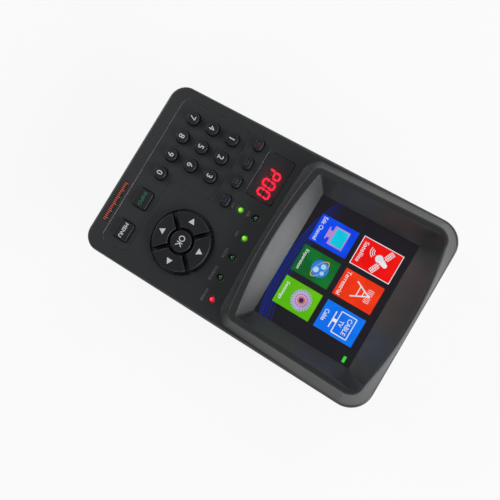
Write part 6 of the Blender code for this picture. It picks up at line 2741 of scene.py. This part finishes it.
@dataclass
class PowerSwitch:
    """The slide switch behind the connector bay's wall, and its ribbed knob."""

    plastic: KeyPlastic
    metal: Metal
    x: float = 0.0305
    travel: float = 0.0040
    half: Place = (0.0019, 0.0014)
    body_half_x: float = 0.00625
    body_low: float = 0.0058
    body_top: float = 0.0137
    ends: Place = (0.0675, 0.0737)
    floor_y: float = 0.0707
    knob_ends: Place = (0.0710, 0.0783)
    rib_pitch: float = 0.0010
    rib: float = 0.0004

    def block(self, x: float, half_x: float, ends: Place, room: float = 0.0) -> Solid:
        """Return a block about the knob's height.

        Args:
            x: Its middle.
            half_x: Half of its width.
            ends: Where it starts and ends along the case.
            room: The room round it.

        Returns:
            The block.
        """
        half_z = self.half[1] + room
        low = (x - half_x - room, ends[0], HEAD_Z - half_z)
        return Solid().box(low, (x + half_x + room, ends[1], HEAD_Z + half_z))

    def build(self) -> None:
        """Build the switch and its knob."""
        low = (self.x - self.body_half_x, self.ends[0], self.body_low)
        body = Solid().box(low, (self.x + self.body_half_x, self.ends[1], self.body_top)).ease_all(0.0003)
        way = (self.floor_y, self.ends[1] + OVERRUN)
        body.cut(self.block(self.x, self.half[0] + self.travel / 2, way, FIT))
        body.finish("power_switch_shell", self.metal.make(), "root", Slot.TINNED, ["power_switch"])
        rest = self.x - self.travel / 2
        knob = self.block(rest, self.half[0], self.knob_ends).ease_all(0.0002)
        ribs = Solid()
        tip = self.knob_ends[1]
        for index in range(3):
            x = rest + (index - 1) * self.rib_pitch
            ribs.box((x - self.rib / 2, tip - self.rib, 0), (x + self.rib / 2, tip + OVERRUN, CASE.parting_z))
        knob.cut(ribs)
        knob.finish("switch_knob_moulding", self.plastic.make(), "switch_knob", Slot.BLACK, ["switch_knob"])


@dataclass
class BatteryPack:
    """The flat battery pack in its wrap, with its sealed end, leads and plug."""

    wrap: Wrap
    tape: KeyPlastic
    leads: tuple[KeyPlastic, KeyPlastic]
    plug: KeyPlastic
    half: Place = (0.0305, 0.0369)
    middle: float = -0.0474
    levels: Place = (0.0053, 0.0149)
    edge: float = 0.0014
    tape_half: Place = (0.0240, 0.0052)
    tape_from_end: float = 0.0068
    lead_z: Place = (0.0104, 0.0112)
    wire: float = 0.00075
    plug_y: float = 0.0175
    plug_low: Point = (-0.0037, 0.0146, 0.0087)
    plug_high: Point = (0.0037, 0.0204, 0.0137)
    notch_x: float = 0.0018
    notch_half: float = 0.0007
    notch_reach: float = 0.0036
    notch_depth: float = 0.0016

    def build(self) -> None:
        """Build the pack."""
        low, high = self.levels
        body = Solid().slab(Outline.rectangle(*self.half, 0.0020, (0, self.middle)), low, high)
        body.ease(low, self.edge, 5).ease(high, self.edge, 5)
        far = self.middle + self.half[1]
        body.finish("battery_cell", self.wrap.make(), "root", Slot.WRAP, ["battery_pack"])
        strip = Outline.rectangle(*self.tape_half, 0.0004, (0, far - self.tape_from_end), 3)
        tape = Solid().slab(strip, low - SKIN * 3, low + SKIN)
        tape.finish("battery_tape", self.tape.make(), "root", Slot.WRAP)
        for side, finish in zip((-1, 1), self.leads):
            rings = []
            for share in [step / 16 for step in range(17)]:
                z = self.lead_z[0] + (self.lead_z[1] - self.lead_z[0]) * share * share * (3 - 2 * share)
                y = far - 0.0008 + (self.plug_y - far) * share
                circle = Outline.circle(self.wire, (side * (self.wire + SKIN), z), 12)
                rings.append([(across, y, up) for across, up in circle.points])
            Solid().loft(rings).finish(f"battery_lead_{finish.name}", finish.make(), "root", Slot.WRAP)
        plug = Solid().box(self.plug_low, self.plug_high).ease_all(0.0003)
        notches = Solid()
        near, under = self.plug_low[1] - OVERRUN, self.plug_low[2] - OVERRUN
        for x in (-self.notch_x, self.notch_x):
            low = (x - self.notch_half, near, under)
            notches.box(low, (x + self.notch_half, near + self.notch_reach, under + self.notch_depth))
        plug.cut(notches)
        plug.finish("battery_plug", self.plug.make(), "root", Slot.WRAP)


@dataclass
class Speaker:
    """The small speaker behind the grille: dome, cone, rolled surround, basket and magnet."""

    cone: Rubber
    metal: Metal
    place: Place = (-0.0200, 0.0215)
    low: float = 0.0040
    radius: float = 0.0130
    cone_radius: float = 0.0105
    roll: float = 0.0010
    basket: float = 0.0024
    depth: float = 0.0048
    magnet: float = 0.0063
    edge: float = 0.0003

    def build(self) -> None:
        """Build the speaker."""
        z = self.low
        rim = self.cone_radius + 0.0002
        roll = self.roll
        profile = [(0, z + 0.0005), (0.0015, z + 0.0007), (0.0028, z + 0.0013), (0.0034, z + 0.0014)]
        profile.append((self.cone_radius - 2 * roll, z + 0.0006))
        for angle in [math.pi * step / 8 for step in range(9)]:
            x = self.cone_radius - roll - roll * math.cos(angle)
            profile.append((x, z + 0.0006 - roll / 2 * math.sin(angle)))
        profile += [(rim, z), (rim, z + 0.0018), (0, z + 0.0018)]
        Solid().lathe(profile, self.place, 72).finish("speaker_cone", self.cone.make(), "root", Slot.BLACK)
        edge = self.edge
        hollow, top, back = rim + SKIN, z + self.basket, z + self.depth
        profile = [(0, z + 0.0019), (hollow, z + 0.0019), (hollow, z), (self.radius - edge, z)]
        profile += [(self.radius, z + edge), (self.radius, top - edge), (self.radius - edge, top)]
        profile += [(self.magnet, top), (self.magnet, back - edge), (self.magnet - edge, back), (0, back)]
        basket = Solid().lathe(profile, self.place, 72)
        basket.finish("speaker_basket", self.metal.make(), "root", Slot.BLACK, ["speaker"])


@dataclass
class Tuners:
    """The two tuner boxes of tinned sheet, with sprung lids and adjusting holes."""

    metal: Metal
    wall: float = 0.0007
    levels: Place = (0.0043, 0.0137)
    ends: Place = (0.0407, 0.0737)

    SPANS = {"satellite_tuner": (-0.0360, 0.0010), "aerial_tuner": (0.0035, 0.0225)}

    def build(self) -> None:
        """Build the tuners."""
        material = self.metal.make()
        low, high = self.levels
        for name, (left, right) in self.SPANS.items():
            centre = ((left + right) / 2, sum(self.ends) / 2)
            half = ((right - left) / 2, (self.ends[1] - self.ends[0]) / 2)
            tin = Solid().slab(Outline.rectangle(*half, 0.0005, centre, 3), low, high)
            lid = Outline.rectangle(half[0] - self.wall, half[1] - self.wall, 0.0004, centre, 3)
            face = low + self.wall * 0.7
            tin.ease(low, 0.0003, 2).cut(Solid().slab(lid, low - OVERRUN, face))
            dents = Solid()
            for index in range(5):
                y = centre[1] + (index - 2) * half[1] * 0.38
                for side in (-1, 1):
                    x = centre[0] + side * (half[0] - self.wall * 2.6)
                    dents.slab(Outline.rectangle(0.0006, 0.0016, 0.00055, (x, y), 4), low, face + 0.0005)
            hole = Outline.circle(0.0013, (centre[0], centre[1] - half[1] * 0.35), 24)
            dents.slab(hole, low, face + 0.0012)
            tin.cut(dents).finish(f"{name}_case", material, "root", Slot.TINNED, [name])


@dataclass
class CarriedOver:
    """The nodes whose shape stays as the part has it, with their finishes."""

    finishes: Sequence[tuple[Finish, tuple[str, ...]]]

    def build(self) -> None:
        """Give each node its material."""
        for finish, nodes in self.finishes:
            material = finish.make()
            for name in nodes:
                piece = frame["nodes"][name]
                piece.data.materials.clear()
                piece.data.materials.append(material)
                log.info("%s keeps its shape, in %s", name, material.name)


@dataclass
class Studio:
    """Pale floor, soft lamps and the camera at the photograph's angle."""

    camera_place: Point = (0.01989, 0.06699, 0.31041)
    right: Point = (-0.5134, 0.83812, -0.18433)
    down: Point = (0.85738, 0.49185, -0.15161)
    forward: Point = (-0.03641, -0.23588, -0.9711)
    lens: float = 40.32
    floor_half: float = 3.0
    floor_white: float = 0.88

    def camera(self) -> None:
        """Place the camera."""
        data = bpy.data.cameras.new("camera")
        data.lens = self.lens
        data.sensor_width = 36.0
        data.clip_start = 0.01
        made = bpy.data.objects.new("camera", data)
        axes = (Vector(self.right), -Vector(self.down), -Vector(self.forward))
        turn = Matrix([[axis[row] for axis in axes] for row in range(3)]).to_4x4()
        made.matrix_world = Matrix.Translation(self.camera_place) @ turn
        bpy.context.scene.collection.objects.link(made)
        bpy.context.scene.camera = made

    def lamp(self, name: str, place: Point, target: Point, size: Place, power: float, colour: Colour) -> None:
        """Add one soft lamp.

        Args:
            name: The lamp's name.
            place: Where it stands.
            target: What it points at.
            size: The sides of its rectangle.
            power: Its power in watts.
            colour: Its colour.
        """
        data = bpy.data.lights.new(name, "AREA")
        data.shape = "RECTANGLE"
        data.size, data.size_y = size
        data.energy = power
        data.color = colour
        made = bpy.data.objects.new(name, data)
        made.location = place
        made.rotation_euler = (Vector(target) - Vector(place)).to_track_quat("-Z", "Y").to_euler()
        bpy.context.scene.collection.objects.link(made)

    def floor(self) -> None:
        """Add the pale floor, white to the camera but for the meter's soft shadow."""
        bm = bmesh.new()
        bmesh.ops.create_grid(bm, x_segments=1, y_segments=1, size=self.floor_half)
        mesh = bpy.data.meshes.new("floor")
        bm.to_mesh(mesh)
        bm.free()
        graph = Graph("pale_floor")
        graph.surface(Base_Color=(0.90, 0.90, 0.90), Roughness=0.9)
        path = graph.node("ShaderNodeLightPath")
        seen = Value(graph, path.outputs["Is Camera Ray"])
        for ray in ("Is Glossy Ray", "Is Transmission Ray"):
            seen = graph.math("MAXIMUM", seen, Value(graph, path.outputs[ray]))
        white = graph.node("ShaderNodeEmission", None, {"Color": (1, 1, 1), "Strength": 1.0})
        graph.blend(seen * self.floor_white, white)
        mesh.materials.append(graph.material)
        made = bpy.data.objects.new("floor", mesh)
        bpy.context.scene.collection.objects.link(made)

    def world(self) -> None:
        """Light the room evenly and show it white."""
        world = bpy.data.worlds.new("room")
        world.use_nodes = True
        bpy.context.scene.world = world
        tree = world.node_tree
        background = tree.nodes["Background"]
        background.inputs["Color"].default_value = (1, 1, 1, 1)
        background.inputs["Strength"].default_value = 0.10
        white = tree.nodes.new("ShaderNodeBackground")
        white.inputs["Color"].default_value = (1, 1, 1, 1)
        white.inputs["Strength"].default_value = 1.0
        path = tree.nodes.new("ShaderNodeLightPath")
        mixed = tree.nodes.new("ShaderNodeMixShader")
        tree.links.new(path.outputs["Is Camera Ray"], mixed.inputs[0])
        tree.links.new(background.outputs[0], mixed.inputs[1])
        tree.links.new(white.outputs[0], mixed.inputs[2])
        tree.links.new(mixed.outputs[0], tree.nodes["World Output"].inputs["Surface"])

    def build(self) -> None:
        """Build the studio."""
        self.camera()
        self.floor()
        self.world()
        target = (0, 0.02, 0.03)
        self.lamp("key_lamp", (0.10, 1.30, 0.42), target, (1.2, 0.30), 20.0, (0.97, 0.985, 1.0))
        self.lamp("left_lamp", (-1.20, 0.10, 0.70), target, (0.9, 0.6), 5.0, (0.96, 0.98, 1.0))
        self.lamp("right_lamp", (1.25, 0.00, 0.60), target, (0.9, 0.6), 4.0, (0.97, 0.98, 1.0))
        self.lamp("fill_lamp", (-0.20, -1.25, 0.62), target, (0.9, 0.6), 6.5, (0.97, 0.98, 1.0))
        bpy.context.scene.view_settings.view_transform = "Standard"


def main() -> None:
    """Build the meter's looks and the studio."""
    logging.basicConfig(level=logging.INFO, format="%(name)s: %(message)s")
    case = MouldedPlastic("case_plastic", (0.0275, 0.0290, 0.0300))
    white = Ink("white_print", (0.72, 0.72, 0.72))
    soft = (
        Ink("red_print", (0.20, 0.022, 0.035)),
        Ink("green_print", (0.018, 0.090, 0.055)),
        Ink("yellow_print", (0.085, 0.088, 0.055)),
        Ink("blue_print", (0.020, 0.035, 0.12)),
    )
    FrontCover(case).build()
    keys = KeyPlastic("key_plastic", (0.0095, 0.0100, 0.0122), 0.50)
    Keypad(keys, white, soft, Ink("info_print", (0.02, 0.20, 0.09))).build()
    DisplayWindow(
        SatinWindow("smoked_acrylic", (0.66, 0.34, 0.36), (0.060, 0.062, 0.068)),
        # The module's face carries a painted glow round the lit digits.
        DigitGlow("digit_face", (-0.0270, -0.0122, 0.0236), 0.0125),
        Ink("lit_red", (1.0, 0.010, 0.070), 9.0),
        Ink("unlit_red", (0.040, 0.006, 0.009)),
    ).build()
    Lamps(Ink("legend_print", (0.17, 0.175, 0.18))).build()
    Scale(Ink("scale_black", (0.006, 0.006, 0.007)), Ink("scale_orange", (0.80, 0.13, 0.05))).build()
    BackCover(case).build()
    BatteryDoor(case).build()
    Feet(Rubber("foot_rubber", (0.012, 0.012, 0.012))).build()
    Screws(Metal("blackened_steel", (0.20, 0.20, 0.21), 0.35)).build()
    nickel = Metal("nickel_brass", (0.66, 0.64, 0.58), 0.25)
    black = KeyPlastic("black_plastic", (0.014, 0.014, 0.014), 0.5)
    AerialSockets(nickel, KeyPlastic("white_insulator", (0.72, 0.71, 0.68), 0.4)).build()
    SidePorts(nickel, black, Metal("gold_contacts", (0.83, 0.60, 0.26), 0.22)).build()
    PowerSwitch(black, Metal("switch_shell", (0.60, 0.60, 0.58), 0.30)).build()
    Screen(ClearGlass("clear_window", (0.96, 0.97, 0.98))).build()
    KeyMat(Rubber("grey_silicone", (0.30, 0.31, 0.32), 0.7)).build()
    Tuners(Metal("tinned_sheet", (0.62, 0.62, 0.60), 0.30)).build()
    paper = Rubber("speaker_paper", (0.020, 0.020, 0.021), 0.75)
    Speaker(paper, Metal("speaker_steel", (0.35, 0.35, 0.36), 0.4)).build()
    red = KeyPlastic("red_wire", (0.42, 0.012, 0.010), 0.4)
    wires = (red, KeyPlastic("black_wire", (0.010, 0.010, 0.010), 0.4))
    tape = KeyPlastic("amber_tape", (0.55, 0.30, 0.06), 0.3)
    plug = KeyPlastic("white_plug", (0.70, 0.70, 0.66), 0.45)
    BatteryPack(Wrap("shrink_wrap", (0.02, 0.09, 0.30)), tape, wires, plug).build()
    CarriedOver(
        (
            (CircuitBoard("green_board", (0.010, 0.085, 0.035)), ("key_board", "main_board")),
            (Rubber("ribbon_film", (0.62, 0.61, 0.56), 0.5), ("keypad_cable",)),
            (Metal("zinc_sheet", (0.55, 0.56, 0.57), 0.36), ("screen_tray",)),
            (KeyPlastic("panel_black", (0.014, 0.014, 0.014), 0.5), ("screen_panel",)),
        )
    ).build()
    Studio().build()


if __name__ == "__main__":
    main()
